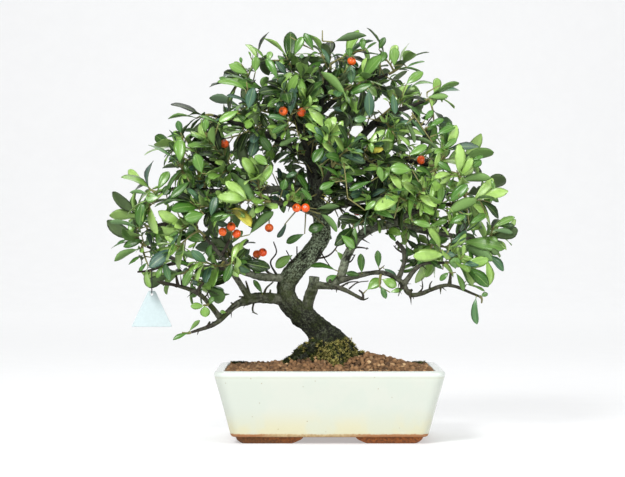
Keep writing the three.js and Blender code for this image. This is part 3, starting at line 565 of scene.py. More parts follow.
def mossMaterial():
    # dark green at the tufts' hearts to straw yellow at their points
    material, tree, shader = newMaterial("moss")
    node, place = placeMottle(tree, 0.006, 0.0008)
    draw = ownDraws(tree, "mossTint")
    stops = ((0.0, (10, 13, 6)), (0.35, (48, 54, 20)), (0.7, (150, 140, 72)), (1.0, (226, 214, 138)))
    green = rampColour(tree, draw.outputs["Red"], stops)
    patch = band(tree, node.outputs["Patches"], 0, 1, 0, 0.35)
    feed(tree, shader.inputs["Base Color"], mixColour(tree, patch, green, (64, 76, 30)))
    feed(tree, shader.inputs["Roughness"], 0.85)
    feed(tree, shader.inputs["Specular IOR Level"], 0.15)
    addBump(tree, shader, node.outputs["Grain"], 0.3, 0.0003)
    return material


def plainMaterial(name, first, second, rough, patch=0.004, grain=0.0008, bump=0.2, glow=0.0):
    material, tree, shader = newMaterial(name)
    node, place = placeMottle(tree, patch, grain)
    feed(tree, shader.inputs["Base Color"], mixColour(tree, node.outputs["Grain"], first, second))
    feed(tree, shader.inputs["Roughness"], rough)
    shader.inputs["Emission Color"].default_value = (1, 1, 1, 1)
    feed(tree, shader.inputs["Emission Strength"], glow)
    addBump(tree, shader, node.outputs["Relief"], bump, 0.0003)
    return material


finishes = {
    "glaze": glazeMaterial(),
    "soil": soilMaterial(),
    "bark": barkMaterial(),
    "leaf": leafMaterial(),
    "leafUnder": leafUnderMaterial(),
    "berry": berryMaterial(),
    "shoot": plainMaterial("shoot", (96, 104, 52), (128, 118, 70), 0.55),
    "moss": mossMaterial(),
    # the tag sheet glows a little: painted light in place of light through its thin sheet
    "tagSheet": plainMaterial("tagSheet", (178, 192, 194), (184, 198, 200), 0.34, 0.02, 0.003, 0.05),
    "twine": plainMaterial("twine", (40, 42, 40), (70, 72, 66), 0.85),
    "net": plainMaterial("net", (30, 36, 32), (44, 52, 46), 0.6),
    # the floor and backdrop glow: painted light that lifts the shade under the pot and lights the tree from
    # below
    "glowingPaper": plainMaterial("glowingPaper", (188, 189, 190), (190, 191, 192), 0.9, 0.4, 0.05, 0.0, 0.4),
}
print("finishes made")

wood = {
    "trunk": [
        [9, 0, 54, 13], [8, 0, 70, 21], [6, 0, 84, 21.5], [1, -1, 96, 18], [-7, -2, 107, 14],
        [-21, -4, 121, 11.5], [-33, -5, 131, 10.8], [-41, -5, 140, 10.1], [-44, -3, 150, 9.4],
        [-42, 0, 162, 9.3], [-35, 2, 173, 9.5], [-15, 6, 195, 8.9], [-8, 6, 208, 8.3],
        [-8, 4, 222, 7.8], [-15, 0, 253, 6.8], [-16, -2, 269, 6.2], [-20, 2, 298, 4.9],
        [-16, 3, 317, 4.3], [1, -2, 378, 2.2],
    ],
    "root_left": [
        [-6, -4, 99, 10], [-22, -6, 89.5, 7.8], [-36, -7, 80, 6], [-50, -6, 69, 4],
    ],
    "root_right": [
        [6, 2, 91, 11], [25, 4, 80, 7.6], [60, 8, 66, 3.4],
    ],
    "root_front": [
        [4, -8, 93, 10.5], [9, -24, 84, 8.4], [7, -40, 71, 4.6],
    ],
    "root_back": [
        [4, 8, 92, 10], [8, 28, 86, 7], [14, 46, 70, 3.8],
    ],
    "lower_left": [
        [-40, -4, 142, 5], [-82, -16, 143, 5.1], [-92, -19, 139, 3.8], [-117, -27, 118, 2.6],
        [-140, -33, 110, 1.2],
    ],
    "lower_left_fork": [
        [-111, -25, 125, 2.6], [-131, -30, 148, 2.4], [-171, -40, 162, 1.2],
    ],
    "left_riser": [
        [-81, -17, 144, 3.3], [-109, -42, 187, 2.2], [-125, -48, 207, 1.6],
    ],
    "left_middle": [
        [-43, -2, 164, 4.3], [-74, -6, 167, 3.9], [-99, 4, 174, 3.1], [-137, 12, 176, 2.4],
        [-188, 6, 197, 1.4],
    ],
    "left_upper": [
        [-15, 0, 249, 4.7], [-30, -6, 255, 4.5], [-48, -12, 255, 4.1], [-113, -24, 253, 2.9],
        [-156, -26, 256, 1.9], [-172, -24, 253, 1.5],
    ],
    "left_upper_low": [
        [-89, -20, 251, 2.9], [-125, 16, 234, 2.5], [-145, 26, 227, 2.1], [-183, 28, 218, 1.5],
    ],
    "left_upper_high": [
        [-67, -16, 252, 2.9], [-103, -24, 273, 2.3], [-138, -24, 294, 1.6],
    ],
    "left_top": [
        [-19, 0, 282, 4.3], [-32, 8, 295, 3.9], [-67, 18, 314, 3.2], [-86, 18, 321, 2.7],
        [-119, 8, 332, 1.5],
    ],
    "crown_left": [
        [-18, 2, 311, 3.4], [-46, -14, 340, 2.7], [-78, -14, 364, 1.7],
    ],
    "crown_right": [
        [-12, 2, 333, 3.1], [22, 14, 360, 2.5], [61, 10, 375, 1.6],
    ],
    "right_upper": [
        [-15, -2, 274, 4.7], [-1, -6, 291, 4.5], [27, -11, 304, 4.1], [48, -12, 324, 3.6],
        [97, -6, 346, 1.7],
    ],
    "right_upper_back": [
        [-15, 0, 263, 4.3], [5, 18, 273, 3.9], [58, 46, 287, 3.2], [86, 50, 289, 2.6],
        [111, 48, 286, 2.1],
    ],
    "right_stub": [
        [-23, -6, 128, 6.4], [-22, -9, 137, 5.9], [-19, -12, 148, 5.7], [-16, -14, 158, 5.7],
        [-15, -15, 166, 5.4],
    ],
    "right_low_twig": [
        [-16, -13, 158, 3.9], [10, -22, 155, 2.5], [33, -31, 144, 1.7],
    ],
    "right_middle": [
        [0, -18, 157, 3.7], [8, -16, 162, 4], [20, -12, 191, 4.3], [30, -14, 206, 4.5],
        [43, -18, 215, 4.5], [60, -24, 219, 4.1], [96, -32, 213, 3.2], [148, -26, 204, 1.7],
    ],
    "right_low": [
        [9, -16, 163, 3.1], [62, -36, 168, 2.5], [75, -39, 159, 2.8], [79, -40, 151, 2.4],
        [121, -45, 158, 1.9], [151, -42, 147, 1.1],
    ],
    "right_low_fork": [
        [75, -39, 159, 2.7], [93, -48, 179, 2], [116, -50, 181, 1.4],
    ],
    "right_low_link": [
        [70, -38, 164, 2.3], [76, -32, 184, 2.2], [75, -32, 194, 2.1], [68, -34, 202, 1.8],
    ],
    "right_spur": [
        [121, -45, 157, 1.8], [122, -47, 170, 1.3],
    ],
    "right_front": [
        [61, -24, 219, 3.1], [93, -46, 235, 2.4], [130, -54, 241, 1.6],
    ],
    "right_back": [
        [-11, 4, 233, 4.5], [7, 18, 239, 4.2], [56, 44, 249, 3.4], [83, 52, 252, 3],
        [109, 54, 253, 2.4], [134, 50, 251, 1.8],
    ],
    "back_low": [
        [-10, 6, 226, 4.3], [-30, 54, 247, 3.2], [-47, 74, 254, 2.6], [-67, 88, 256, 1.9],
    ],
    "back_middle": [
        [-16, 0, 259, 4.1], [1, 52, 288, 3.1], [17, 88, 311, 1.7],
    ],
    "back_high": [
        [-18, 2, 296, 3.6], [-7, 44, 334, 2.5], [-11, 58, 352, 1.8],
    ],
    "front_middle": [
        [-14, 0, 245, 3.7], [3, -64, 277, 1.9],
    ],
    "front_left": [
        [-11, 0, 230, 3.9], [-42, -46, 240, 2.7], [-59, -64, 242, 2],
    ],
    "front_high": [
        [-20, 0, 290, 3.3], [-37, -58, 330, 1.6],
    ],
    "right_fore": [
        [-15, 0, 258, 4], [2, -14, 270, 3.7], [24, -26, 279, 3.3], [50, -36, 284, 2.9],
        [76, -44, 284, 2.3], [100, -46, 279, 1.7],
    ],
    "tag_twig": [
        [-154, 12, 181, 1.8], [-166, 5, 178, 1.7], [-176, -2, 175, 1.4], [-186, -7, 172, 1.2],
        [-196, -12, 171, 1],
    ],
    "berry_twig": [
        [-109, -42, 187, 1.8], [-100, -54, 204, 1.1],
    ],
}
sprays = {
    "left_end": ["left_middle", 1, [[-199, 4, 206], [-185, -12, 177]]],
    "left_under": ["left_middle", 0.68, [[-165, 24, 168], [-133, 2, 161]]],
    "left_inner_under": ["left_middle", 0.42, [[-101, 28, 196], [-121, 52, 204]]],
    "left_front": ["left_riser", 1, [[-147, -60, 220], [-153, -64, 194]]],
    "left_face": ["left_riser", 0.62, [[-123, -70, 182], [-90, -58, 182]]],
    "left_back_low": ["left_upper_low", 1, [[-200, 20, 233], [-183, 42, 204]]],
    "left_out": ["left_upper", 1, [[-187, -14, 261], [-182, -34, 238]]],
    "left_mid_front": ["left_upper", 0.55, [[-132, -62, 236], [-103, -66, 232]]],
    "left_high": ["left_upper_high", 1, [[-162, -20, 297], [-148, -46, 274]]],
    "left_high_front": ["left_upper_high", 0.5, [[-118, -54, 298], [-108, -62, 268]]],
    "left_mid_back": ["left_upper", 0.72, [[-151, 26, 279], [-128, 36, 298]]],
    "left_inner_front": ["front_left", 1, [[-83, -86, 243], [-71, -84, 265]]],
    "crown_low_left": ["left_top", 1, [[-137, 4, 329], [-126, -10, 310]]],
    "crown_left_back": ["left_top", 0.5, [[-93, 52, 343], [-106, 50, 311]]],
    "crown_left_tip": ["crown_left", 1, [[-97, -10, 363], [-73, -2, 391]]],
    "crown_left_front": ["crown_left", 0.52, [[-80, -58, 338], [-84, -56, 312]]],
    "crown_front": ["front_high", 0.74, [[-45, -78, 351], [-21, -80, 335]]],
    "apex_left": ["trunk", 0.93, [[-42, -20, 387], [-28, -46, 367]]],
    "apex": ["trunk", 1, [[-7, 4, 394], [21, -8, 394]]],
    "apex_back": ["back_high", 1, [[-30, 70, 380], [10, 68, 384]]],
    "crown_right_tip": ["crown_right", 1, [[77, 4, 385], [57, 12, 393]]],
    "crown_right_front": ["crown_right", 0.45, [[35, -50, 363], [11, -54, 352]]],
    "crown_right_back": ["crown_right", 0.72, [[67, 60, 364], [39, 54, 387]]],
    "upper_right_tip": ["right_upper", 1, [[112, 0, 354], [107, -16, 324]]],
    "upper_right_front": ["right_upper", 0.62, [[71, -54, 344], [65, -52, 310]]],
    "right_fore_tip": ["right_fore", 1, [[117, -56, 294], [105, -60, 268]]],
    "right_fore_mid": ["right_fore", 0.5, [[42, -66, 298], [56, -72, 271]]],
    "middle_front": ["front_middle", 1, [[18, -86, 295], [-2, -84, 305]]],
    "upper_back": ["back_middle", 1, [[28, 104, 333], [-5, 106, 318]]],
    "right_back_tip": ["right_upper_back", 1, [[142, 38, 289], [119, 52, 309]]],
    "right_back_mid": ["right_upper_back", 0.5, [[78, 78, 310], [59, 84, 263]]],
    "right_far": ["right_back", 1, [[160, 36, 258], [149, 48, 231]]],
    "right_inner_back": ["right_back", 0.55, [[98, 88, 272], [81, 78, 231]]],
    "right_front_tip": ["right_front", 1, [[151, -56, 244], [128, -68, 270]]],
    "right_front_mid": ["right_front", 0.5, [[93, -84, 253], [68, -80, 247]]],
    "right_tip": ["right_middle", 1, [[170, -20, 210], [157, -28, 187]]],
    "right_mid_front": ["right_middle", 0.5, [[36, -62, 248], [23, -52, 216]]],
    "right_mid_low": ["right_middle", 0.78, [[97, -20, 185], [121, 6, 197]]],
    "right_low_tip": ["right_low_fork", 1, [[135, -58, 176], [110, -66, 194]]],
    "right_low_end": ["right_low", 1, [[154, -38, 140]]],
    "right_low_mid": ["right_low", 0.3, [[51, -46, 156]]],
    "low_left_end": ["lower_left", 1, [[-149, -36, 110]]],
    "low_left_leaf": ["lower_left_fork", 0.25, [[-127, -40, 138]]],
    "back_left": ["back_low", 1, [[-78, 106, 273], [-97, 98, 240]]],
}
bunches = {
    "berries_top": ["trunk", 0.975, [[23, -20, 386]]],
    "berries_crown": ["front_high", 1, [[-46, -74, 332], [-28, -72, 331]]],
    "berries_left_high": ["left_upper_high", 0.62, [[-106, -36, 301]]],
    "berries_centre": ["front_left", 0.45, [[-33, -52, 236], [-24, -50, 236]]],
    "berries_left": ["berry_twig", 1, [[-98, -66, 217], [-93, -58, 210], [-107, -60, 212]]],
    "berries_left_inner": ["left_upper", 0.32, [[-61, -30, 216]]],
    "berries_left_low": ["left_middle", 0.24, [[-68, -12, 191], [-74, -3, 189]]],
    "berries_right": ["right_fore", 0.82, [[92, -54, 284]]],
    "berries_right_low": ["right_middle", 0.44, [[29, -20, 233]]],
}
# leaves that show as themselves from the front, read off the photograph in its own pixels: base and
# tip from the left side and the top, width as seen, then shade from dark to light and bluish bloom,
# both up to 1
# each shade is the leaf's tone as it looks, with painted shade on leaves in shadow and painted highlight on
# glossy ones
shownLeaves = [
    (189.6, 331.4, 200.4, 320, 5, .62, 0), (189.7, 332.1, 174.3, 338.6, 6, .5, 0),
    (204.3, 305.4, 191.1, 305, 7, .68, 0), (205, 306, 205.7, 317, 10, .68, 0),
    (209.7, 304.3, 213.6, 296, 6.5, .55, 0), (226.4, 312.1, 220.7, 310.7, 4, .68, 0),
    (222.9, 278.6, 195.7, 273.6, 8, .4, 0), (192, 267.9, 180.7, 287.9, 9, .62, .2),
    (262, 293.6, 253, 280, 6, .35, 0), (292, 255, 275, 267, 11, .66, 0), (268, 268, 254, 272, 6, .55, 0),
    (304, 233.5, 285, 243, 9, .4, .2), (335, 270, 310, 264, 8, .36, 0), (337, 275, 326, 281, 8, .48, 0),
    (337, 251, 348, 264, 7, .66, 0), (341, 235, 355, 248, 11, .56, 0), (362, 273, 361.5, 253, 8, .42, 0),
    (378, 268, 377, 250, 7.5, .36, 0), (383, 268, 396, 276.5, 7, .3, .6), (367, 290, 381, 279, 13, .66, 0),
    (381, 279, 396, 286, 11, .7, 0), (389, 292, 401, 289, 6, .62, 0), (380, 286, 385, 298, 6, .4, .3),
    (360, 275, 346, 273, 6, .3, 0), (474.3, 297, 472.9, 324, 8, .5, .6),
    (480, 295.7, 486.4, 292.9, 5, .6, .4), (465, 284.3, 483.6, 290, 5, .62, 0),
    (463.6, 280.7, 478, 276.5, 9, .66, 0), (454.3, 272, 462.9, 290, 6.5, .58, 0),
    (447, 272, 438.6, 280, 6, .5, 0), (452.9, 268, 453, 257, 13, .6, .3),
    (460, 265.7, 479, 262, 8.5, .3, .8), (455, 255.7, 437.4, 253.6, 9, .3, .8),
    (441.4, 269.3, 430, 260.7, 6, .3, 0), (421.4, 257.9, 431.7, 245, 10, .6, 0),
    (415.7, 264.3, 427, 253.6, 7, .45, 0), (430.7, 255.7, 423.6, 265.7, 6, .5, 0),
    (458.6, 241.4, 505.4, 246.4, 18, .62, .2), (458.9, 244.3, 492.6, 259.3, 11, .55, .4),
    (452.9, 238.6, 431, 242, 10, .5, 0), (246.3, 71.9, 227.9, 62.5, 10, .66, .2),
    (245, 89.4, 217.8, 79.4, 9, .6, 0), (264.8, 58.5, 252.8, 45, 4, .66, .2),
    (255, 70.6, 256.3, 54.8, 9, .6, 0), (241.5, 63, 240.8, 56.3, 4, .45, 0),
    (246.3, 81.9, 227.5, 73.5, 4.5, .35, 0), (247.8, 109.4, 252.5, 88.8, 11, .3, .9),
    (290, 115, 292.5, 87.5, 10, .3, .9), (266.3, 60, 270.6, 49.8, 8, .66, .2),
    (277.5, 78.8, 266.3, 58, 9, .5, 0), (275, 60, 286.3, 73, 7, .25, .6),
    (295, 54.4, 302.5, 36.9, 10, .55, 0), (313.8, 50, 304.4, 33.1, 9, .42, 0),
    (330.6, 63.8, 322.8, 46.3, 6, .35, .8), (240, 110, 219.4, 120.6, 10, .68, 0),
    (348, 101, 323, 71, 8, .62, 0), (333, 42, 366, 34, 6, .3, .3), (362.8, 48.8, 362.8, 36.6, 7, .5, 0),
    (379.4, 47.5, 385, 35.6, 6.5, .35, 0), (366.3, 48.8, 377.5, 40.6, 4, .35, 0),
    (350.6, 56, 350, 46, 9, .42, 0), (380, 60.6, 387, 48.8, 10, .5, 0),
    (395, 63.8, 395.6, 45.3, 12, .68, .2), (407.5, 65, 425.6, 59, 3.5, .55, .4),
    (406.3, 84.4, 422.8, 71, 9, .62, 0), (410, 86.9, 432.5, 80.6, 5, .55, 0),
    (427.5, 97.5, 448.8, 96.9, 6.5, .6, 0), (425, 121, 433.5, 110.6, 7, .5, 0),
    (430, 126.9, 444.4, 118.8, 7.5, .5, 0), (436.3, 135, 455.4, 125.6, 8, .5, 0),
    (351.9, 84.4, 351.3, 65.3, 10, .3, .5), (368.8, 89.4, 370, 115, 11, .28, .7),
    (392.5, 93, 395.6, 114.4, 8, .3, .7), (410, 118, 425.6, 134.4, 7, .3, .4),
    (368, 116.9, 354.6, 118.8, 9, .55, .5), (373.8, 83.8, 350.6, 93, 9, .42, 0),
    (442.9, 150, 457.4, 139.3, 7.5, .55, 0), (470.7, 160.7, 482.9, 155.7, 5, .5, 0),
    (472, 167.9, 480.7, 160, 9, .5, 0), (462, 180.7, 491.4, 177, 8, .62, .2),
    (491.4, 202.9, 491.4, 180, 9, .6, 0), (490.7, 207, 482.9, 192.9, 7, .5, 0),
    (450, 201.4, 467.4, 184.3, 11, .5, 0), (447, 213.6, 475.7, 198.6, 10, .62, 0),
    (487, 218.6, 475.7, 200.7, 10, .55, 0), (469.3, 224.3, 486.4, 212.9, 9, .52, 0),
    (493.6, 227, 518.5, 217.4, 8, .64, 0), (498.6, 227, 515.7, 225.4, 6, .3, 0),
    (492.9, 230.7, 513, 232, 4.5, .4, .5), (438.6, 204.3, 442, 185.4, 8, .62, 0),
    (451.4, 171.4, 437, 161.4, 7, .5, 0), (430, 227, 448.3, 220, 8, .62, 0),
    (448.6, 223.6, 464.3, 215.7, 8, .52, 0), (135, 226.4, 107, 220.5, 3.5, .5, .5),
    (126.4, 238.6, 113.3, 244.3, 3.5, .4, .3), (141.9, 239.3, 121, 245.7, 8.5, .42, 0),
    (136, 249.6, 112, 260.7, 6, .6, .3), (143.9, 254.3, 127, 264.3, 4.5, .42, 0),
    (146.7, 262.4, 137.9, 272.4, 4.5, .5, .2), (149.6, 272.4, 142.4, 282, 3, .45, 0),
    (160.7, 266.4, 155, 277.9, 7, .62, 0), (162, 262, 167.9, 279.3, 8, .5, .6),
    (139.3, 227.9, 142, 202.9, 12, .42, 0), (147.9, 194.7, 130.4, 191, 2.6, .5, .4),
    (159, 198, 145, 198, 13, .62, .2), (157, 189.3, 167.9, 170.7, 11, .58, 0),
    (177, 162, 148.6, 144.3, 5, .5, .3), (180, 163.6, 178.6, 139, 14, .62, 0),
    (179.3, 132, 176.4, 120, 6.5, .42, .3), (182, 134.7, 166.4, 135.3, 3.5, .35, 0),
    (205, 132, 205.7, 119.3, 8.5, .55, 0), (217.9, 122.9, 199.3, 114.7, 4, .55, 0),
    (173.6, 203.6, 163.6, 219.3, 6, .5, 0), (190, 202, 155, 203.6, 4, .3, 0),
    (203.6, 215, 184.3, 219.3, 14, .55, 0), (205, 240.7, 186.4, 233.6, 11, .5, 0),
    (170, 185, 163, 195, 9, .3, 0), (189.3, 181.4, 171.4, 197, 9, .4, 0),
    (202, 172.9, 195.7, 153.6, 12, .55, 0), (210.7, 216.4, 215.7, 196.4, 10, .3, .6),
    (235, 214, 212, 219.3, 8.5, .6, .3), (189.3, 266.4, 168.6, 260.7, 6.5, .38, 0),
    (229, 257, 217, 275.7, 10, .5, 0), (234, 262, 226.4, 280.7, 9, .38, 0),
    (193.6, 263.6, 216.4, 242.9, 4, .55, 0), (256.3, 205, 238.8, 178, 11, .45, 0),
    (248.8, 235, 271.9, 211, 10, .45, 0), (268, 165, 254.4, 155.6, 9, .66, 0),
    (286.9, 123.8, 271.9, 132.5, 6.5, .38, 0), (298.8, 135.6, 279.4, 145, 7, .4, 0),
    (287.5, 120, 268, 115.6, 7, .38, .4), (323.8, 147.5, 313.8, 161.3, 11, .4, 0),
    (319.4, 165.6, 339.4, 175.6, 6.5, .38, 0), (335, 182.5, 319.4, 190, 8, .5, 0),
    (317, 208.8, 340, 206, 6, .38, 0), (321, 213.8, 339.4, 230.6, 5, .5, 0),
    (325, 226, 308.5, 230, 11, .38, 0), (300, 187.5, 311.3, 199.4, 6, .42, 0),
    (285, 178, 282, 189, 9, .42, 0), (296.9, 171, 284.4, 175, 6, .4, .5), (410, 151, 397.5, 145, 9, .2, 0),
    (408.8, 155.6, 426.9, 145.6, 9, .6, 0), (411.9, 170, 390, 167.5, 14, .62, 0),
    (381.9, 182.5, 378.8, 166.9, 8, .6, 0), (381.9, 182.5, 388.8, 167.5, 7, .62, 0),
    (371, 181, 348.8, 190.6, 8, .42, 0), (385, 193.8, 416, 188, 7, .5, 0),
    (385, 193.8, 395, 210, 9, .52, .3), (394.4, 218.8, 374.4, 208.8, 9, .5, 0),
    (410, 220, 414.4, 190, 6, .6, 0), (372.5, 152.5, 371.9, 142.5, 5, .7, 0),
    (412.5, 166, 433.8, 175, 7, .38, 0), (365, 210, 375, 200.6, 7, .6, 0),
    (412.5, 221.9, 431, 226, 8, .6, 0), (406.9, 123, 416, 141.9, 5, .3, 0),
    (438, 148.8, 418.8, 138, 4, .3, 0),
]
shownTwigs = [
    ("twig", .9, .6, ((297, 268), (297, 256), (296.5, 246.5))),
    ("twig", .8, .5, ((316, 240), (323, 256), (331, 268))),
    ("twig", .9, .6, ((314, 259), (329, 255), (337, 246.5), (341, 238))),
    ("twig", .7, .4, ((348.5, 289), (357, 283), (368.5, 281))),
    ("twig", 1.2, .7, ((362.5, 300), (363, 294), (358.5, 290))), ("twig", .7, .3, ((376, 272), (384, 265))),
    ("twig", 1, .6, ((234.5, 306), (230.5, 303))),
    ("twig", 1.2, .7, ((263, 297), (265.7, 290), (272.9, 281.5))),
    ("twig", 1.1, .8, ((269.5, 298), (270.5, 289.5))),
    ("twig", 1.5, .8, ((249.5, 298), (248, 288), (246, 281))),
    ("twig", 1.1, .6, ((247, 298), (239, 296.5))), ("twig", 2, .9, ((198, 293), (199, 288), (204, 282.5))),
    ("twig", .8, .4, ((203, 299.5), (209.3, 291.4))), ("twig", 1.3, .9, ((207, 327), (210.5, 321.5))),
    ("twig", 1.2, .6, ((178, 286), (174, 285), (164, 284), (158.5, 280.5))),
    ("twig", 1.5, 1, ((178.5, 286), (177, 275))),
    ("twig", 1, .6, ((276, 275), (270, 262), (276.4, 252), (273.6, 242))),
    ("twig", .8, .5, ((294.5, 267), (286, 250))),
    ("twig", 1.6, 1, ((284, 279), (268.6, 273), (260, 264.3), (251.4, 257))),
    ("twig", 1.7, 1, ((409, 292), (409.5, 297.5))), ("twig", .9, .2, ((428.6, 288.5), (428.6, 283.5))),
    ("twig", .9, .2, ((439.7, 287), (439.7, 293.5))),
    ("shoot", 1, .8, ((412, 112), (425, 128), (438, 150))),
    ("shoot", .8, .8, ((343.8, 162.5), (346, 180), (348, 198))),
    ("shoot", .6, .4, ((305, 45.6), (298, 41), (290, 38))), ("shoot", 1.1, .9, ((322.5, 41), (322, 32))),
    ("shoot", .6, .4, ((427, 92.5), (439, 86))),
]
thorny = {
    "lower_left": 2, "lower_left_fork": 2, "left_riser": 1, "left_middle": 2, "right_low_twig": 1,
    "right_middle": 2, "right_low": 3, "right_low_link": 1,
}
layout = {
    "clearance": 0.3, "leafLength": 30.0, "leafWidth": 12.6, "leafGap": 6.0,
    "stalkRadius": 1.0, "thornLength": 11.0, "thornRadius": 1.1, "stemRadius": 1.6,
    "crown": np.array([-15.0, 0.0, 250.0]), "reach": np.array([210.0, 122.0, 170.0]), "crownFoot": 205.0,
    "lowDepth": -25.0, "mainLeaves": (0.39, 0.6, 0.73, 0.93, 1), "sideLeaves": (0.6, 0.9, 1),
    "loneLeaves": (0.6, 0.93, 1), "loneLeaf": 0.68, "leafThickness": 0.7,
}
up = np.array([0.0, 0.0, 1.0])
fineWood = {name: smoothRows(rows, 1.5)[0] for name, rows in wood.items()}


def facing(place):
    # outwards from the crown, square to the egg shape that it fills
    return unit((place - layout["crown"]) / layout["reach"] ** 2)


def frontDepth(x, z):
    # how far forward the crown's leaves lie there
    middle, reach = layout["crown"], layout["reach"]
    out = ((x - middle[0]) / reach[0]) ** 2 + ((z - middle[2]) / reach[2]) ** 2
    return -0.72 * reach[1] * math.sqrt(min(max(1 - out, 0.02), 1))


def fromPicture(fromLeft, fromTop, depth=None):
    # the place behind a point of the picture: at the depth given, or else where the ray from the camera
    # meets the front of the crown, found in four rounds, or the low branches' plane
    v = cameraValues
    y = layout["lowDepth"]
    for attempt in range(4):
        scale = (y - v["place"][1]) / v["focalPixels"]
        x = v["place"][0] + (fromLeft - v["widthPixels"] / 2) * scale
        z = v["place"][2] - (fromTop - v["heightPixels"] / 2) * scale
        low = z < layout["crownFoot"]
        y = depth if depth is not None else layout["lowDepth"] if low else frontDepth(x, z)
    return x, y, z


def alongLine(points, share, radii=None):
    # place, direction, radius and step at a share of a line's length
    points = np.asarray(points, dtype=float)
    steps = np.linalg.norm(np.diff(points, axis=0), axis=1)
    rest = share * steps.sum()
    i = 0
    while i < len(steps) - 1 and rest > steps[i]:
        rest -= steps[i]
        i += 1
    t = min(rest / steps[i], 1)
    radius = 0 if radii is None else radii[i] + (radii[i + 1] - radii[i]) * t
    return points[i] + (points[i + 1] - points[i]) * t, unit(points[i + 1] - points[i]), radius, i


def seat(name, share, target, table=None):
    rows = np.array((table or wood)[name], dtype=float)
    place, direction, radius, step = alongLine(rows[:, :3], share, rows[:, 3])
    if share == 1:
        return place + direction * 2 * layout["clearance"], direction
    out = target - place
    out = unit(out - direction * out.dot(direction))
    return place + out * (radius + layout["clearance"]), out


def shootCurve(start, direction, tip, steps):
    # a quadratic curve that leaves along a direction and ends at the tip
    reach = np.linalg.norm(tip - start) * 0.45
    middle = start + direction * reach
    t = np.linspace(0, 1, steps + 1)[:, None]
    return start * (1 - t) ** 2 + middle * 2 * t * (1 - t) + tip * t**2


def thornList(table=None):
    rows = []
    for n, (name, count) in enumerate(thorny.items()):
        line = np.array((table or wood)[name], dtype=float)
        for i in range(count):
            place, direction, radius, step = alongLine(
                line[:, :3], (i + 0.6 + 0.3 * fixed(n, i, 5)) / (count + 0.4), line[:, 3])
            turn = 2 * math.pi * fixed(n, i, 6)
            side = unit(np.cross([0.0, 1.0, 0.0], direction))
            other = np.cross(direction, side)
            out = unit(side * math.cos(turn) + other * math.sin(turn) + direction * 0.35)
            length = layout["thornLength"] * (0.8 + 0.4 * fixed(n, i, 7))
            start = place + out * radius * 0.3
            rows.append((start, start + out * length))
    return rows


stems, fineStems = {}, {}
for name, (host, share, tips) in sprays.items():
    tip = np.array(tips[0], dtype=float)
    root, out = seat(host, share, tip)
    coarse = [shootCurve(root, out, tip, 3)]
    fine = [shootCurve(*seat(host, share, tip, fineWood), tip, 12)]
    if len(tips) > 1:
        sideTip = np.array(tips[1], dtype=float)
        start = coarse[0][1]
        toTip = unit(sideTip - start)
        direction = toTip + (out - toTip) * 0.25
        coarse.append(shootCurve(start, direction, sideTip, 2))
        fine.append(shootCurve(start, direction, sideTip, 10))
    stems[name], fineStems[name] = coarse, fine

stalks, fineRoots = {}, {}
for name, (host, share, middles) in bunches.items():
    middles = np.array(middles, dtype=float)
    fineRoots[name] = seat(host, share, middles.mean(0), fineWood)[0]
    root, out = seat(host, share, middles.mean(0))
    first = shootCurve(root, out, middles[0], 2)
    stalks[name] = [(root, out, middles[0])] + [(first[1], out, m) for m in middles[1:]]


# the tag and its thread, here because the leaves keep clear of them
tagValues = {
    "x": -182.0, "y": -5.0, "top": 151.5, "height": 37.0, "width": 42.0, "topWidth": 7.0, "thickness": 0.9,
    "holeZ": 148.0, "holeRadius": 1.5, "corner": 1.4, "bend": 0.35,
    "threadRadius": 0.45, "twigZ": 173.2, "twigRadius": 1.4, "plyPitch": 2.6, "plyDepth": 0.13,
}


def obstacleArrays():
    # every stretch of wood, thorn, stem, stalk, berry and tag, as ends, radius and owner
    rows = []
    for line in wood.values():
        line = np.array(line, dtype=float)
        for a, b in zip(line, line[1:]):
            rows.append((a[:3], b[:3], max(a[3], b[3]), ""))
    for a, b in thornList():
        rows.append((a, b, layout["thornRadius"], ""))
    for name, shoots in stems.items():
        for points in shoots:
            rows += [(a, b, layout["stemRadius"], name) for a, b in zip(points, points[1:])]
    for name, curves in stalks.items():
        for root, out, middle in curves:
            points = shootCurve(root, out, middle, 2)
            rows += [(a, b, layout["stalkRadius"], name) for a, b in zip(points, points[1:])]
    for host, share, middles in bunches.values():
        rows += [(np.array(m, float), np.array(m, float) + [0.01, 0, 0], 5.5, "") for m in middles]
    hole = np.array([tagValues["x"], tagValues["y"], tagValues["holeZ"]])
    rows.append((hole, np.array([tagValues["x"], tagValues["y"], tagValues["twigZ"]]), 3.0, ""))
    rows.append((hole + [-8, 0, -18.5], hole + [8, 0, -18.5], 18.0, ""))
    return (np.array([row[i] for row in rows]) for i in range(4))


obstacleStart, obstacleEnd, obstacleRadius, obstacleOwner = obstacleArrays()
sampleShares = [(s, t) for s in (0.25, 0.4, 0.55, 0.7, 0.85) for t in (-1, 0, 1)] + [(1, 0)]
sampleS = np.array([s for s, t in sampleShares])[:, None]
sampleT = np.array([t for s, t in sampleShares])[:, None]


def leafSamples(base, direction, normal, length, width):
    across = np.cross(direction, normal)
    return (base + direction * sampleS * length + across * sampleT * width * 0.42
            - normal * 0.1 * sampleS**2 * length)


def isClear(samples, owner, placedSamples, placedOwners):
    line = obstacleEnd - obstacleStart
    other = obstacleOwner != owner
    t = ((samples[:, None] - obstacleStart) * line).sum(-1) / (line * line).sum(-1)
    nearest = obstacleStart + line * np.clip(t, 0, 1)[..., None]
    distance = np.linalg.norm(samples[:, None] - nearest, axis=-1)
    room = np.maximum(3.3, obstacleRadius + 1.6)
    if (distance < room)[:, other].any():
        return False
    if len(placedSamples):
        near = np.linalg.norm(placedSamples[:, 7] - samples[7], axis=1) < 1.5 * layout["leafLength"]
        if near.any():
            cloud = placedSamples[near]
            own = placedOwners[near] == owner
            d = np.linalg.norm(cloud[:, :, None] - samples[None, None], axis=-1)
            if (d[~own] < layout["leafGap"]).any() or (d[own][:, 6:, 6:] < 3.2).any():
                return False
    return True


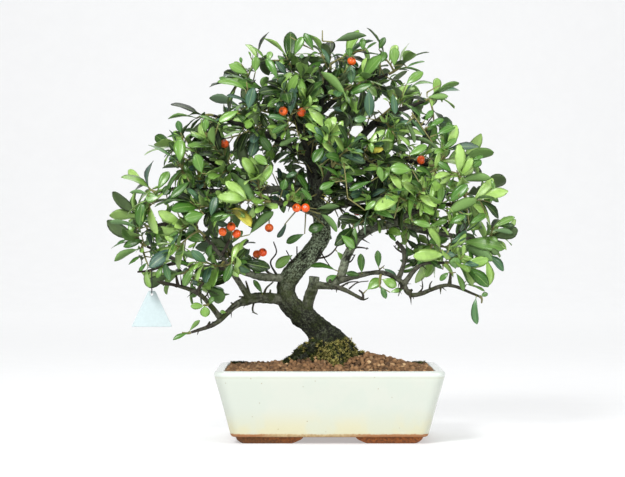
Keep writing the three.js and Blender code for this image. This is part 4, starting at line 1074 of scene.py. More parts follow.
def placeSolidLeaves():
    # the same leaves as the solids have: in turn on a shoot's three sides, turned until they are clear
    placed, samplesList, owners = [], np.zeros((0, len(sampleS), 3)), np.array([], dtype=object)
    for n, name in enumerate(sprays):
        for side, points in enumerate(stems[name]):
            outward = unit(points[-1] - layout["crown"])
            lone = len(stems[name]) == 1
            shares = layout["loneLeaves" if lone else "mainLeaves" if side == 0 else "sideLeaves"]
            tangents, across, other = frames(points)
            for k, share in enumerate(shares):
                place, direction0, radius, step = alongLine(points, share)
                for turn in range(9):
                    seed = k + 10 * side
                    azimuth = math.radians(60 + 120 * (k + turn + math.floor(3 * fixed(n, side, 11))))
                    opening = 16 if share == 1 else 54 - 4 * (turn // 3)
                    opening = math.radians(opening + 14 * (fixed(n, seed, 12) - 0.5))
                    direction = unit(direction0 * math.cos(opening)
                                     + across[step] * math.sin(opening) * math.cos(azimuth)
                                     + other[step] * math.sin(opening) * math.sin(azimuth) + outward * 0.25)
                    sway = np.array([fixed(n, seed, 13) - 0.5, fixed(n, seed, 14) - 0.5, 0])
                    normal = up * 0.5 + facing(points[-1]) + 0.7 * sway
                    normal = unit(normal - direction * normal.dot(direction))
                    size = (0.82 + 0.36 * fixed(n, seed, 15)) * (1 - 0.035 * turn)
                    size = size * (layout["loneLeaf"] if lone else 1)
                    base = place - direction * 0.3 + normal * layout["leafThickness"] / 2
                    length, width = layout["leafLength"] * size, layout["leafWidth"] * size
                    samples = leafSamples(base, direction, normal, length, width)
                    if isClear(samples, name, samplesList, owners):
                        placed.append((name, base, direction, normal, length, width))
                        samplesList = np.concatenate([samplesList, samples[None]])
                        owners = np.append(owners, name)
                        break
    return placed


leafRows = placeSolidLeaves()
print("leaves of the solids:", len(leafRows))


# thread over a thorny twig, its knot, and the tag that hangs on it
def threadRows(v):
    # right half of the loop from its crest down to the hole, then the same mirrored back up
    low = v["holeZ"] + v["holeRadius"] - v["threadRadius"] - 0.3
    high = v["twigRadius"] + 0.3 + v["threadRadius"]
    half = [
        (0.3, v["twigZ"] + high), (high * 0.7, v["twigZ"] + high * 0.7), (high, v["twigZ"]),
        (high, v["twigZ"] - 8), (1.7, low + 8), (1.5, low + 1.3), (1.1, low + 0.35), (0, low),
    ]
    loop = half + [(-y, z) for y, z in half[-2::-1]]
    return [(v["x"], v["y"] + y, z, v["threadRadius"]) for y, z in loop]


def pliedTube(rows, sides, pitch, depth, spacing):
    # radius r (1 + depth cos(2 angle - 2 pi s / pitch)): two plies twisted round each other
    path, s = smoothRows(rows, spacing)
    plies = 1 + depth * np.cos(2 * turnOf(sides) - 2 * np.pi * s[:, None] / pitch)
    return path[:, :3], tubeSurface(path[:, :3], path[:, 3:4] * plies, sides)


def tagSurface(v):
    # closed sheet between a round hole and a rounded outline, which a ray from the hole meets once;
    # the profile (share of the way out, share of the thickness) goes round the sheet's section
    half, low = v["width"] / 2, v["top"] - v["height"]
    corners = [(-half, low), (half, low), (v["topWidth"] / 2, v["top"]), (-v["topWidth"] / 2, v["top"])]
    outline = roundedPolygon(np.array(corners), [v["corner"]] * 2 + [0.9] * 2, 5)
    outline = evenRing(outline, 120)
    middle = np.array([0.0, v["holeZ"]])
    hole = middle + unit(outline - middle) * v["holeRadius"]
    profile = [(0.0, -0.32), (0.015, -0.5), (0.1, -0.5), (0.3, -0.5), (0.6, -0.5), (0.9, -0.5), (0.985, -0.5),
               (1.0, -0.3), (1.0, 0.3), (0.985, 0.5), (0.9, 0.5), (0.6, 0.5), (0.3, 0.5), (0.1, 0.5),
               (0.015, 0.5), (0.0, 0.32)]
    share = np.array([u for u, h in profile])[:, None, None]
    flat = hole * (1 - share) + outline * share
    thick = np.array([h for u, h in profile])[:, None] * v["thickness"]
    bow = v["bend"] * (flat[..., 0] / half) ** 2
    points = np.stack([flat[..., 0] + v["x"], thick + bow + v["y"], flat[..., 1]], axis=-1)
    return closedGrid(points)


def roundedPolygon(corners, radii, steps):
    # each corner becomes a quadratic curve between points that far along its two sides
    before, after = np.roll(corners, 1, axis=0), np.roll(corners, -1, axis=0)
    radii = np.asarray(radii, dtype=float)[:, None]
    first = corners + unit(before - corners) * radii
    last = corners + unit(after - corners) * radii
    t = np.linspace(0, 1, steps + 1)[None, :, None]
    ring = first[:, None] * (1 - t) ** 2 + corners[:, None] * 2 * t * (1 - t) + last[:, None] * t**2
    return ring.reshape(-1, 2)


def evenRing(ring, count):
    # the same closed outline with its points at even steps
    closed = np.concatenate([ring, ring[:1]])
    lengths = lengthsAlong(closed)
    s = np.linspace(0, lengths[-1], count, endpoint=False)
    return np.stack([np.interp(s, lengths, closed[:, 0]), np.interp(s, lengths, closed[:, 1])], axis=-1)


def makeTag(v):
    line, surface = pliedTube(threadRows(v), 14, v["plyPitch"], v["plyDepth"], 0.55)
    threadPiece = heapOf([surface], "tagThread", "twine")
    tagPiece = heapOf([tagSurface(v)], "tagSheet", "tagSheet")
    crest = np.array([v["x"], v["y"], v["twigZ"] + v["twigRadius"] + 0.3 + v["threadRadius"]])
    t = 2 * np.pi * np.arange(48) / 48
    ring = 0.85 + 0.4 * np.cos(3 * t)
    knot = crest + np.stack([ring * np.cos(2 * t), ring * np.sin(2 * t), 0.2 + 0.4 * np.sin(3 * t)], axis=-1)
    tails = []
    for side, drop in ((-1, 2.2), (1, 3.0)):
        u = np.linspace(0, 1, 9)[:, None]
        tail = crest + np.array([side * 0.5, -0.6, 0.2])
        tail = tail + u * np.array([side * 3.4, -2.2, 1.2]) + u**2 * np.array([side * 0.6, -0.4, -drop])
        tails.append(tubeSurface(tail, np.linspace(0.42, 0.34, 9), 8))
    knotPiece = heapOf([ringTube(knot, 0.42, 8)] + tails, "tagThreadKnot", "twine")
    for piece in (threadPiece, tagPiece, knotPiece):
        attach(piece, "root")
    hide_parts("tag_thread")
    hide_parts("tag")


def ringTube(points, radius, sides):
    # a tube along a closed line
    before, after = np.roll(points, 1, axis=0), np.roll(points, -1, axis=0)
    tangents = unit(after - before)
    across = unit(np.cross(tangents, np.array([0.0, 0.0, 1.0])))
    other = np.cross(tangents, across)
    rings = points[:, None] + radius * aroundLine(turnOf(sides), across, other)
    return closedGrid(rings)


def heapOf(surfaces, name, finish):
    heap = newHeap()
    for surface in surfaces:
        pile(heap, *surface)
    return heapPiece(heap, name, [finishes[finish]], "tint")


makeTag(tagValues)

# pot: a tapered tray with a soft roll round its rim, L feet at the corners and two drain holes
potValues = {
    "width": 230.0, "depth": 170.0, "height": 73.5, "baseWidth": 198.0, "baseDepth": 138.0, "footHeight": 7.0,
    "floor": 15.0, "lip": 7.0, "lipStep": 0.7, "mouthWidth": 211.0, "mouthDepth": 151.0,
    "innerWidth": 182.0, "innerDepth": 122.0, "rimCorner": 13.0, "baseCorner": 11.0,
    "drainRadius": 8.0, "drainX": 46.0, "cornerSteps": 8, "sideSteps": 10, "waver": 0.35,
    "footOuter": (94.2, 65.0), "footEnds": (25.2, 19.0), "footInner": (77.2, 48.0),
    "footMiddle": (84.0, 55.0),
}


def roundedRing(width, depth, corner, z, cornerSteps=8, sideSteps=10):
    # a rounded rectangle: four quarter circles, and even steps along the sides between them
    ring = []
    for k, (sx, sy) in enumerate(((1, -1), (1, 1), (-1, 1), (-1, -1))):
        angle = np.pi / 2 * (k - 1 + np.linspace(0, 1, cornerSteps + 1))
        middle = np.array([sx * (width / 2 - corner), sy * (depth / 2 - corner)])
        ring.append(middle + corner * np.stack([np.cos(angle), np.sin(angle)], axis=-1))
    points = []
    for k in range(4):
        nextStart = ring[(k + 1) % 4][0]
        t = np.arange(1, sideSteps)[:, None] / sideSteps
        points += [ring[k], ring[k][-1] * (1 - t) + nextStart * t]
    flat = np.concatenate(points)
    return np.concatenate([flat, np.full((len(flat), 1), z)], axis=1)


def potRings(v):
    # rows of (width, depth, corner, height) up the outside, over the rim and down the inside
    under = v["height"] - v["lip"]
    rows = [
        (v["baseWidth"] - 12, v["baseDepth"] - 12, v["baseCorner"] - 3, v["footHeight"]),
        (v["baseWidth"] - 3.4, v["baseDepth"] - 3.4, v["baseCorner"] - 1, v["footHeight"]),
        (v["baseWidth"] - 1.4, v["baseDepth"] - 1.4, v["baseCorner"], v["footHeight"] + 0.5),
    ]
    for share in np.concatenate([[0.02], np.linspace(0.06, 1, 14)]):
        wide = v["baseWidth"] + (v["width"] - 2 * v["lipStep"] - v["baseWidth"]) * share
        deep = v["baseDepth"] + (v["depth"] - 2 * v["lipStep"] - v["baseDepth"]) * share
        corner = v["baseCorner"] + (v["rimCorner"] - v["baseCorner"]) * share
        rows.append((wide, deep, corner, v["footHeight"] + 1.2 + (under - v["footHeight"] - 1.2) * share))
    for rise, step in ((0.6, 0.06), (1.4, 0.26), (2.4, 0.52), (3.4, 0.68), (4.3, 0.68), (5.1, 0.48),
                       (5.8, 0.06), (6.35, -0.6), (6.75, -1.45), (6.95, -2.4), (7.0, -3.4)):
        wide, deep = v["width"] - 2 * v["lipStep"] + 2 * step, v["depth"] - 2 * v["lipStep"] + 2 * step
        rows.append((wide, deep, v["rimCorner"] + min(step, 0) * 0.5, under + rise))
    for inset, drop in ((3.2, 0.0), (1.6, 0.1), (0.5, 0.6), (0.0, 1.4)):
        wide, deep = v["mouthWidth"] + 2 * inset, v["mouthDepth"] + 2 * inset
        rows.append((wide, deep, 8 + inset * 0.6, v["height"] - drop))
    for share in (0.95, 0.85, 0.5, 0.15, 0.03):
        wide = v["innerWidth"] + (v["mouthWidth"] - v["innerWidth"]) * share
        deep = v["innerDepth"] + (v["mouthDepth"] - v["innerDepth"]) * share
        rows.append((wide, deep, 7 + share, v["floor"] + (v["height"] - 1.4 - v["floor"]) * share))
    rows.append((v["innerWidth"] - 3, v["innerDepth"] - 3, 6, v["floor"]))
    rings = np.array([roundedRing(*row, v["cornerSteps"], v["sideSteps"]) for row in rows])
    waver = v["waver"] * cellNoise(rings / 38.0, 3)[..., None] * unit(rings * [1, 1, 0])
    return rings + waver


def footRings(v, sx, sy):
    # an L round the corner whose ends slope in to the ground: rows of (height, inset, cut)
    rings = []
    for z, inset, cut in ((0, 5.9, 12), (0.5, 5.1, 10.8), (1.4, 3.8, 8.6), (2.6, 2.4, 6.2), (3.8, 1.3, 3.8),
                          (5.0, 0.7, 2.2), (6.2, 0.3, 1.2), (7.2, 0.1, 0.5), (9, 0, 0)):
        (x0, y0), (x1, y1) = np.array(v["footOuter"]) - inset, np.array(v["footEnds"]) + cut
        x2, y2 = np.array(v["footInner"]) + 0.6 * inset
        outline = np.array([(x2, y2), (x1, y2), (x1, y0), (x0, y0), (x0, y1), (x2, y1)])
        flat = roundedPolygon(outline, [3, 2.5, 2.5, 8, 2.5, 2.5], 6)
        rings.append(np.concatenate([flat * [sx, sy], np.full((len(flat), 1), float(z))], axis=1))
    middles = [np.array([sx * v["footMiddle"][0], sy * v["footMiddle"][1], z]) for z in (0.0, 9.0)]
    return np.array(rings), middles


def cutAway(piece, surfaces):
    # takes closed surfaces out of a piece with an exact boolean and keeps the result as its mesh
    cutter = heapOf(surfaces, "drainCutter", "glaze")
    cut = piece.modifiers.new("drain", "BOOLEAN")
    cut.operation, cut.solver, cut.object = "DIFFERENCE", "EXACT", cutter
    result = bpy.data.meshes.new_from_object(piece.evaluated_get(bpy.context.evaluated_depsgraph_get()))
    piece.modifiers.clear()
    piece.data = result
    bpy.data.objects.remove(cutter)


def makePot(v):
    body = heapOf([loftSolid(potRings(v))], "potBody", "glaze")
    drains = []
    for x in (-v["drainX"], v["drainX"]):
        line = np.array([(x, 0, z) for z in (2.0, 8.0, 14.0, 20.0)])
        drains.append(tubeSurface(line, np.full(4, v["drainRadius"]), 40))
    cutAway(body, drains)
    feet = []
    for sx, sy in ((1, 1), (-1, 1), (1, -1), (-1, -1)):
        rings, middles = footRings(v, sx, sy)
        rings = rings + 0.25 * cellNoise(rings / 14.0, 5)[..., None] * np.array([1.0, 1.0, 0.0])
        feet.append(loftSolid(rings, middles))
    feet = heapOf(feet, "potFeet", "glaze")
    for piece in (body, feet):
        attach(piece, "root")
        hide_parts("pot")
    print("pot made")


makePot(potValues)
for nodeName in ("drain_mesh_left", "drain_mesh_right"):
    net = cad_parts[nodeName]
    net.data.materials.clear()
    net.data.materials.append(finishes["net"])

# soil: a heaped bed of clay grains over a closed body that fills the pot
soilValues = {
    "edge": 72.5, "moundLeft": 6.0, "moundPeak": 14.0, "peakX": 36.0, "leftX": -30.0, "peakReach": (50, 40),
    "leftReach": (48, 48), "halfSize": (105.5, 75.5), "spread": (103.4, 73.4), "limit": (104.9, 74.9),
    "apart": 3.7, "grains": 2100, "low": 3.4, "high": 6.4, "gap": 0.35, "rings": 16, "seed": 11,
}


def soilHeight(x, y):
    # a level edge with two heaps added, that fade to the pot's side
    v = soilValues
    wall = np.maximum(np.abs(x / v["halfSize"][0]), np.abs(y / v["halfSize"][1]))
    edge = np.clip(1 - wall**5, 0, 1)
    peak, left = (np.exp(-(((x - middle) / reach[0]) ** 2) - (y / reach[1]) ** 2)
                  for middle, reach in ((v["peakX"], v["peakReach"]), (v["leftX"], v["leftReach"])))
    return v["edge"] + edge * (v["moundPeak"] * peak + v["moundLeft"] * left)


def lumpShape():
    # one grain: a ball of five rings of seven points with closed poles
    rings = []
    for k in range(1, 5):
        theta = np.pi * k / 5
        angle = 2 * np.pi * (np.arange(7) + 0.5 * (k % 2)) / 7
        rings.append(np.stack([np.sin(theta) * np.cos(angle), np.sin(theta) * np.sin(angle),
                               np.full(7, np.cos(theta))], axis=-1))
    return loftSolid(rings, [(0.0, 0.0, 1.0), (0.0, 0.0, -1.0)])


def spreadPlaces(count, halfX, halfY, apart, rng):
    # darts thrown over a rectangle, each kept where no earlier one is nearer than apart
    cells = {}
    places = []
    for x, y in rng.uniform((-halfX, -halfY), (halfX, halfY), (count * 40, 2)):
        i, j = int(math.floor(x / apart)), int(math.floor(y / apart))
        near = [cells.get((i + a, j + b)) for a in (-1, 0, 1) for b in (-1, 0, 1)]
        if all(p is None or math.hypot(p[0] - x, p[1] - y) >= apart for p in near):
            cells[(i, j)] = (x, y)
            places.append((x, y))
            if len(places) == count:
                break
    return np.array(places)


def makeSoil(v):
    rng = np.random.default_rng(v["seed"])
    p = potValues

    def insideRing(z, gap):
        share = (z - p["floor"]) / (p["height"] - 1.4 - p["floor"])
        wide = p["innerWidth"] + (p["mouthWidth"] - p["innerWidth"]) * share - 2 * gap
        deep = p["innerDepth"] + (p["mouthDepth"] - p["innerDepth"]) * share - 2 * gap
        return roundedRing(wide, deep, 7 + share, z)

    rings = [insideRing(p["floor"] + 1.8, v["gap"] + 0.3), insideRing(v["edge"] - 2.4, v["gap"])]
    for r in range(1, v["rings"]):
        ring = rings[1] * [1 - r / v["rings"], 1 - r / v["rings"], 1]
        ring[:, 2] = soilHeight(ring[:, 0], ring[:, 1]) - 2.2
        rings.append(ring + 0.6 * cellNoise(ring / 3.0, 9)[:, None] * np.array([0.0, 0.0, 1.0]))
    heap = newHeap()
    # the bed under the grains carries a green draw that paints it dark: painted shade in the gaps
    pile(heap, *loftSolid(rings), tint=(0.1, 0.55, 0, 1))
    places = spreadPlaces(v["grains"], *v["spread"], v["apart"], rng)
    count = len(places)
    radius = rng.uniform(v["low"], v["high"], count) / 2
    radius[rng.uniform(size=count) < 0.08] *= 1.25
    shape, quads, tris = lumpShape()
    turn = rng.normal(size=(count, 3, 3))
    turn = np.linalg.qr(turn)[0]
    turn = turn * np.sign(np.linalg.det(turn))[:, None, None]
    squash = rng.uniform(0.72, 1.12, (count, 1, 3))
    rough = 1 + 0.16 * cellNoise(shape[None] * 1.9 + 17.0 * rng.uniform(size=(count, 1, 3)), 4)
    limitX, limitY = v["limit"][0] - radius, v["limit"][1] - radius
    x, y = np.clip(places[:, 0], -limitX, limitX), np.clip(places[:, 1], -limitY, limitY)
    z = soilHeight(x, y) + rng.uniform(-1.7, 0.5, count) - 0.25 * radius
    body = np.einsum("nij,nkj->nki", turn, shape[None] * squash * rough[..., None]) * radius[:, None, None]
    points = (body + np.stack([x, y, z], axis=-1)[:, None]).reshape(-1, 3)
    shade = np.clip(rng.normal(0.5, 0.2, count) + 0.35 * (rng.uniform(size=count) < 0.06), 0, 1)
    dark = np.where(rng.uniform(size=count) < 0.12, 0.45, 0.0)
    tint = np.repeat(np.stack([shade, dark, dark, np.ones(count)], axis=-1), len(shape), axis=0)
    faces = (repeated(f, count, len(shape)) for f in (quads, tris))
    pile(heap, points, *faces, tint=tint)
    piece = heapPiece(heap, "soilGrains", [finishes["soil"]], "grainTint")
    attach(piece, "root")
    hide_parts("soil")
    print("soil made,", count, "grains")


makeSoil(soilValues)

# wood: trunk, surface roots and branches as one piece
woodValues = {
    "ridge": 0.11, "grain": 0.42, "knob": 0.13, "flare": 0.45, "flareLength": 5.0, "bareTwigs": 46,
    "thorns": 70, "stubs": 16, "seed": 23, "openMiddle": (-32, 215), "openRadius": 24,
}


def barkTube(rows, sides, spacing, lobes=0.0, flare=0.0, seed=0):
    # radius r (1 + lobes + flare e^(-s/length)) with ridges that run along it, low knobs and a fine grain
    v = woodValues
    path, s = smoothRows(rows, spacing)
    points, radii = path[:, :3], np.maximum(path[:, 3], 0.25)
    tangents, across, other = frames(points)
    angle = turnOf(sides)
    index = np.interp(s, lengthsAlong(np.asarray(rows, dtype=float)[:, :3]), np.arange(len(rows)))[:, None]
    shape = 1 + lobes * np.sin(3 * angle + 0.5 * index) + lobes * 0.6 * np.sin(5 * angle - 0.8 * index)
    shape = shape + (flare * np.exp(-s / v["flareLength"]))[:, None]
    ring = radii[:, None]
    around = np.stack([np.cos(angle) * ring / 2.8, np.sin(angle) * ring / 2.8,
                       np.broadcast_to(s[:, None] / 12, (len(s), sides))], axis=-1)
    ridges = cellNoise(around, seed) + 0.5 * cellNoise(around * [2.1, 2.1, 1.7], seed + 1)
    directions = aroundLine(angle, across, other)
    surface = points[:, None] + directions * (ring * shape)[..., None]
    fine = cellNoise(surface / 1.5, seed + 2)
    knobs = np.clip(cellNoise(surface / 6.0, seed + 3), -0.3, 1)
    depth = ridges * v["ridge"] * ring + fine * v["grain"] * np.minimum(ring / 6, 1)
    depth = depth + knobs * v["knob"] * np.minimum(ring, 7)
    surface = surface + directions * depth[..., None]
    relief = np.clip(0.5 + 0.35 * ridges + 0.2 * fine, 0, 1)
    brown = np.clip(1 - (ring - 1.2) / 2.5, 0, 1) * np.ones_like(relief)
    pale = np.clip((ring - 1.5) / 6, 0, 1) * np.ones_like(relief)
    tint = np.stack([brown, relief, pale, np.ones_like(relief)], axis=-1).reshape(-1, 4)
    solid = loftSolid(surface)
    return solid, np.concatenate([tint, tint[:1], tint[-1:]])


def thornSurface(start, end, radius):
    # a slim cone, bent a little to its point
    t = np.linspace(0, 1, 7)[:, None]
    side = unit(np.cross(end - start, [0.3, 0.2, 1.0]))
    line = start + (end - start) * t + side * 0.5 * t * (1 - t)
    return tubeSurface(line, radius * (1 - t[:, 0]) ** 0.8 + 0.08, 6)


def nearestWood(x, z):
    # the wood's place nearest to a point as seen from the front, with its radius
    lines = np.concatenate(list(fineWood.values()))
    apart = np.hypot(lines[:, 0] - x, lines[:, 2] - z) - lines[:, 3]
    return lines[np.argmin(apart)]


def twigLines():
    # the shown twigs as lines in space: each starts in the front of the wood that it leaves
    lines = []
    for n, (kind, first, last, marks) in enumerate(shownTwigs):
        places = [(round(x), round(z)) for x, y, z in (fromPicture(*mark) for mark in marks)]
        host = nearestWood(*places[0])
        y = host[1] - 0.5 * host[3] - np.arange(len(places)) * 3.0 * fixed(n, 4)
        if kind == "shoot":
            y = np.full(len(places), frontDepth(*places[0]))
        radii = np.linspace(first, last, len(places))
        lines.append((kind, np.array([(x, h, z, r) for (x, z), h, r in zip(places, y, radii)])))
    return lines


twigs = twigLines()


def makeWood(v):
    rng = np.random.default_rng(v["seed"])
    heap = newHeap()
    for n, (name, rows) in enumerate(wood.items()):
        thick = rows[0][3]
        if name == "trunk":
            solid, tint = barkTube(rows, 72, 1.4, lobes=0.07, seed=n * 5)
        elif name.startswith("root_"):
            solid, tint = barkTube(rows, 26, 1.5, lobes=0.05, seed=n * 5)
        else:
            solid, tint = barkTube(rows, 16 if thick > 3.5 else 12, 1.8, flare=v["flare"], seed=n * 5)
        pile(heap, *solid, tint=tint)
    brown = (0.9, 0.5, 0.5, 1)
    for start, end in thornList(fineWood):
        pile(heap, *thornSurface(start, end, layout["thornRadius"]), tint=brown)
    names = [name for name, rows in wood.items() if not name.startswith(("root_", "trunk"))]
    lengths = np.array([lineLength(np.array(wood[name])[:, :3]) for name in names])
    kinds = ["thorn"] * v["thorns"] + ["twig"] * v["bareTwigs"] + ["stub"] * v["stubs"]
    for k, kind in enumerate(kinds):
        name = names[rng.choice(len(names), p=lengths / lengths.sum())]
        rows = fineWood[name]
        place, direction, radius, step = alongLine(rows[:, :3], rng.uniform(0.15, 0.95), rows[:, 3])
        out = rng.normal(size=3)
        out = unit(unit(out - direction * out.dot(direction)) + 0.45 * direction)
        if kind == "thorn":
            end = place + out * (radius + rng.uniform(3.5, 9))
            pile(heap, *thornSurface(place + out * radius * 0.4, end, 0.8), tint=brown)
            continue
        length = rng.uniform(9, 24) if kind == "twig" else rng.uniform(2.5, 6)
        thick = 1.0 if kind == "twig" else min(0.6 * radius, 2.2)
        bend = place + out * (radius + length * 0.5) + rng.normal(size=3) * (1.6 if kind == "twig" else 0.3)
        end = bend + unit(out + 0.5 * rng.normal(size=3) + [0, 0, 0.25]) * length * 0.5
        if np.hypot(end[0] - v["openMiddle"][0], end[2] - v["openMiddle"][1]) < v["openRadius"]:
            continue
        if np.all(end > boxLow + 2) and np.all(end < boxHigh - 2):
            slim = 0.45 if kind == "twig" else 0.85
            widths = thick, thick * (1 + slim) / 2, thick * slim
            twig = [(*spot, wide) for spot, wide in zip((place + out * radius * 0.3, bend, end), widths)]
            solid, tint = barkTube(twig, 7, 1.6, flare=0.4, seed=k)
            pile(heap, *solid, tint=tint)
            if kind == "twig":
                for share in rng.uniform(0.4, 0.95, 2):
                    foot = place + (bend - place) * 2 * share
                    if share > 0.5:
                        foot = bend + (end - bend) * (2 * share - 1)
                    side = unit(out * 0.6 + rng.normal(size=3) * 0.7)
                    pile(heap, *thornSurface(foot, foot + side * rng.uniform(2, 4.5), 0.45), tint=brown)
    for n, (kind, line) in enumerate(twigs):
        if kind == "twig":
            solid, tint = barkTube(line, 9, 1.3, flare=0.5, seed=n)
            pile(heap, *solid, tint=tint)
    piece = heapPiece(heap, "treeWood", [finishes["bark"]], "barkTint")
    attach(piece, "root")
    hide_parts("tree")
    print("wood made,", len(piece.data.polygons), "faces")


makeWood(woodValues)

# moss: lumpy cushions with star-like tufts on them round the trunk's foot, and tufts in the back corners
mossValues = {
    "hosts": (("trunk", 600, 0.03, 0.13), ("root_left", 230, 0.0, 0.95), ("root_front", 230, 0.0, 0.95),
              ("root_right", 70, 0.0, 0.6), ("root_back", 70, 0.0, 0.9)),
    "skirt": 170, "blades": 12, "blade": 4.0, "width": 0.62, "corners": 70, "top": 99.0, "seed": 5,
    "lump": (1.4, 3.0), "lumpShare": 0.6,
}


def bladeFan(places, normals, bright, v, rng):
    # slim three-sided spikes that fan out round each place, dark at the root and pale at the point
    blades = v["blades"]
    count = len(places) * blades
    normals = np.repeat(normals, blades, axis=0)
    direction = unit(normals * rng.uniform(0.3, 1.1, (count, 1)) + unit(rng.normal(size=(count, 3))))
    base = np.repeat(places, blades, axis=0) - direction * 0.4
    across = unit(np.cross(direction, unit(rng.normal(size=(count, 3)))))
    other = np.cross(direction, across)
    size = np.repeat(v["blade"] * rng.uniform(0.5, 1.0, len(places)) * (0.7 + 0.4 * bright), blades)
    size = size[:, None] * rng.uniform(0.7, 1.15, (count, 1))
    corners = [across, -0.5 * across + 0.86 * other, -0.5 * across - 0.86 * other]
    points = np.stack([base + direction * size * 0.15 + c * v["width"] * 0.5 for c in corners]
                      + [base + direction * size - up * 0.12 * size], axis=1)
    tris = np.array([(0, 1, 3), (1, 2, 3), (2, 0, 3), (0, 2, 1)])
    own = np.repeat(bright, blades)[:, None] * rng.uniform(0.75, 1.1, (count, 1))
    shade = np.clip(own * (own * np.array([0.75, 0.75, 0.75, 0.0]) + np.array([0, 0, 0, 1.15])), 0, 1)
    tint = np.stack([shade] * 3 + [np.ones_like(shade)], axis=-1).reshape(-1, 4)
    return points.reshape(-1, 3), [], repeated(tris, count, 4), tint


def mossLumps(places, bright, v, rng):
    # dented balls, half sunk, that make the lumpy cushion under the tufts
    shape, quads, tris = lumpShape()
    count = len(places)
    size = rng.uniform(*v["lump"], (count, 1, 1)) * rng.uniform(0.75, 1.2, (count, 1, 3))
    points = places[:, None] + shape * size
    points = points + 0.9 * cellNoise(points / 1.2, 12)[..., None] * shape
    # the tops of the lumps a little lighter: painted light
    shade = np.clip(0.03 + 0.1 * bright[:, None] + 0.06 * shape[:, 2], 0, 1)
    tint = np.stack([shade] * 3 + [np.ones_like(shade)], axis=-1).reshape(-1, 4)
    return points.reshape(-1, 3), *(repeated(f, count, len(shape)) for f in (quads, tris)), tint


def makeMoss(v):
    rng = np.random.default_rng(v["seed"])
    places, normals = [], []
    for host, count, low, high in v["hosts"]:
        rows = fineWood[host]
        for k in range(count):
            place, direction, radius, step = alongLine(rows[:, :3], rng.uniform(low, high), rows[:, 3])
            out = rng.normal(size=3) + np.array([-0.15, -0.6, 0.25])
            out = unit(out - direction * out.dot(direction))
            spot = place + out * radius * rng.uniform(1.02, 1.12)
            if spot[2] > soilHeight(spot[0], spot[1]) - 2 and spot[2] < v["top"] + 6 * rng.uniform():
                places.append(spot)
                normals.append(out)
    for k in range(v["skirt"]):
        angle = rng.uniform(0, 2 * np.pi)
        x, y = 6 + rng.uniform(21, 27) * math.cos(angle) * 1.1, rng.uniform(21, 27) * math.sin(angle)
        places.append(np.array([x, y, float(soilHeight(x, y)) + 0.3]))
        normals.append(unit(up + 0.5 * np.array([math.cos(angle), math.sin(angle), 0])))
    for sx in (-1, 1):
        for k in range(v["corners"] // 2):
            x = min(max(sx * 97.0 + rng.normal() * 4.5, -103), 103)
            y = min(66.0 + rng.normal() * 4, 73)
            places.append(np.array([x, y, float(soilHeight(x, y)) + 0.6]))
            normals.append(up + 0.2 * rng.normal(size=3))
    places, normals = np.array(places), np.array(normals)
    # pale where the patches lie and, as painted light, where the light reaches; dark in the hollows between
    # as painted shade
    strawAndLight = np.exp(-((places[:, 0] - 8) / 22) ** 2) * (normals[:, 1] < 0.3) * (places[:, 1] < 5)
    strawAndLight = np.clip(0.1 + 0.75 * strawAndLight + 0.5 * strawAndLight * cellNoise(places / 8.0, 77), 0, 0.9)
    lit = rng.uniform(size=len(places)) < strawAndLight
    bright = np.where(lit, rng.uniform(0.72, 1.0, len(places)), rng.uniform(0.05, 0.42, len(places)))
    heap = newHeap()
    points, quads, tris, tint = bladeFan(places + normals * 0.8, normals, bright, v, rng)
    pile(heap, points, quads, tris, tint=tint)
    keep = rng.uniform(size=len(places)) < v["lumpShare"]
    points, quads, tris, tint = mossLumps(places[keep] - normals[keep] * 1.2, bright[keep], v, rng)
    pile(heap, points, quads, tris, tint=tint)
    piece = heapPiece(heap, "mossTufts", [finishes["moss"]], "mossTint")
    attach(piece, "root")
    print("moss made,", len(places), "tufts")


makeMoss(mossValues)

# berries with a dark dry end, each bunch on its stalks
berryValues = {"radius": 4.5, "rows": 11, "columns": 16, "dimple": 0.17, "sepals": 0.07}


def berrySurface(middle, axis, v):
    # radius R (1 - dimple e^-(a/.3)^2 + five low sepals), a being the angle from the dry end
    theta = np.linspace(0, np.pi, v["rows"] + 2)[1:-1, None]
    phi = turnOf(v["columns"])
    fromEnd = np.pi - theta
    size = 1 - v["dimple"] * np.exp(-(fromEnd / 0.3) ** 2) - 0.06 * np.exp(-(theta / 0.3) ** 2)
    size = size + v["sepals"] * np.exp(-((fromEnd - 0.42) / 0.14) ** 2) * (0.5 + 0.5 * np.cos(5 * phi))
    size = size * v["radius"]
    side = unit(np.cross(axis, [0.31, 0.8, 0.2]))
    other = np.cross(axis, side)
    rings = (np.cos(theta) * size)[..., None] * -axis * 0.94
    rings = rings + (np.sin(theta) * np.cos(phi) * size)[..., None] * side
    rings = middle + rings + (np.sin(theta) * np.sin(phi) * size)[..., None] * other
    ends = [middle - axis * 0.94 * v["radius"] * 0.94, middle + axis * 0.94 * v["radius"] * (1 - v["dimple"])]
    dry = np.clip(1.35 - fromEnd / 0.42, 0, 1) * np.ones_like(phi)
    return loftSolid(rings, ends), np.concatenate([dry.ravel(), [0.0, 1.0]])


def makeBerries(v):
    for n, (name, (host, share, middles)) in enumerate(bunches.items()):
        heap = newHeap()
        for k, (root, out, middle) in enumerate(stalks[name]):
            line = shootCurve(fineRoots[name] if k == 0 else root, out, middle, 8)
            pile(heap, *tubeSurface(line, np.linspace(0.75, 0.6, 9), 7), slot=1, tint=(0.5, 0, 0, 1))
            axis = unit(unit(line[-1] - line[-3]) + np.array([0.0, -0.25, 0.1]))
            solid, dry = berrySurface(middle, axis, v)
            shade = 0.25 + 0.5 * fixed(n, k, 31)
            tint = np.stack([np.full(len(dry), shade), dry, dry, np.ones(len(dry))], axis=-1)
            pile(heap, *solid, tint=tint)
        piece = heapPiece(heap, name + "_fine", [finishes["berry"], finishes["shoot"]], "berryTint")
        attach(piece, "root")
        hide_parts(name)
    print("berries made")


makeBerries(berryValues)

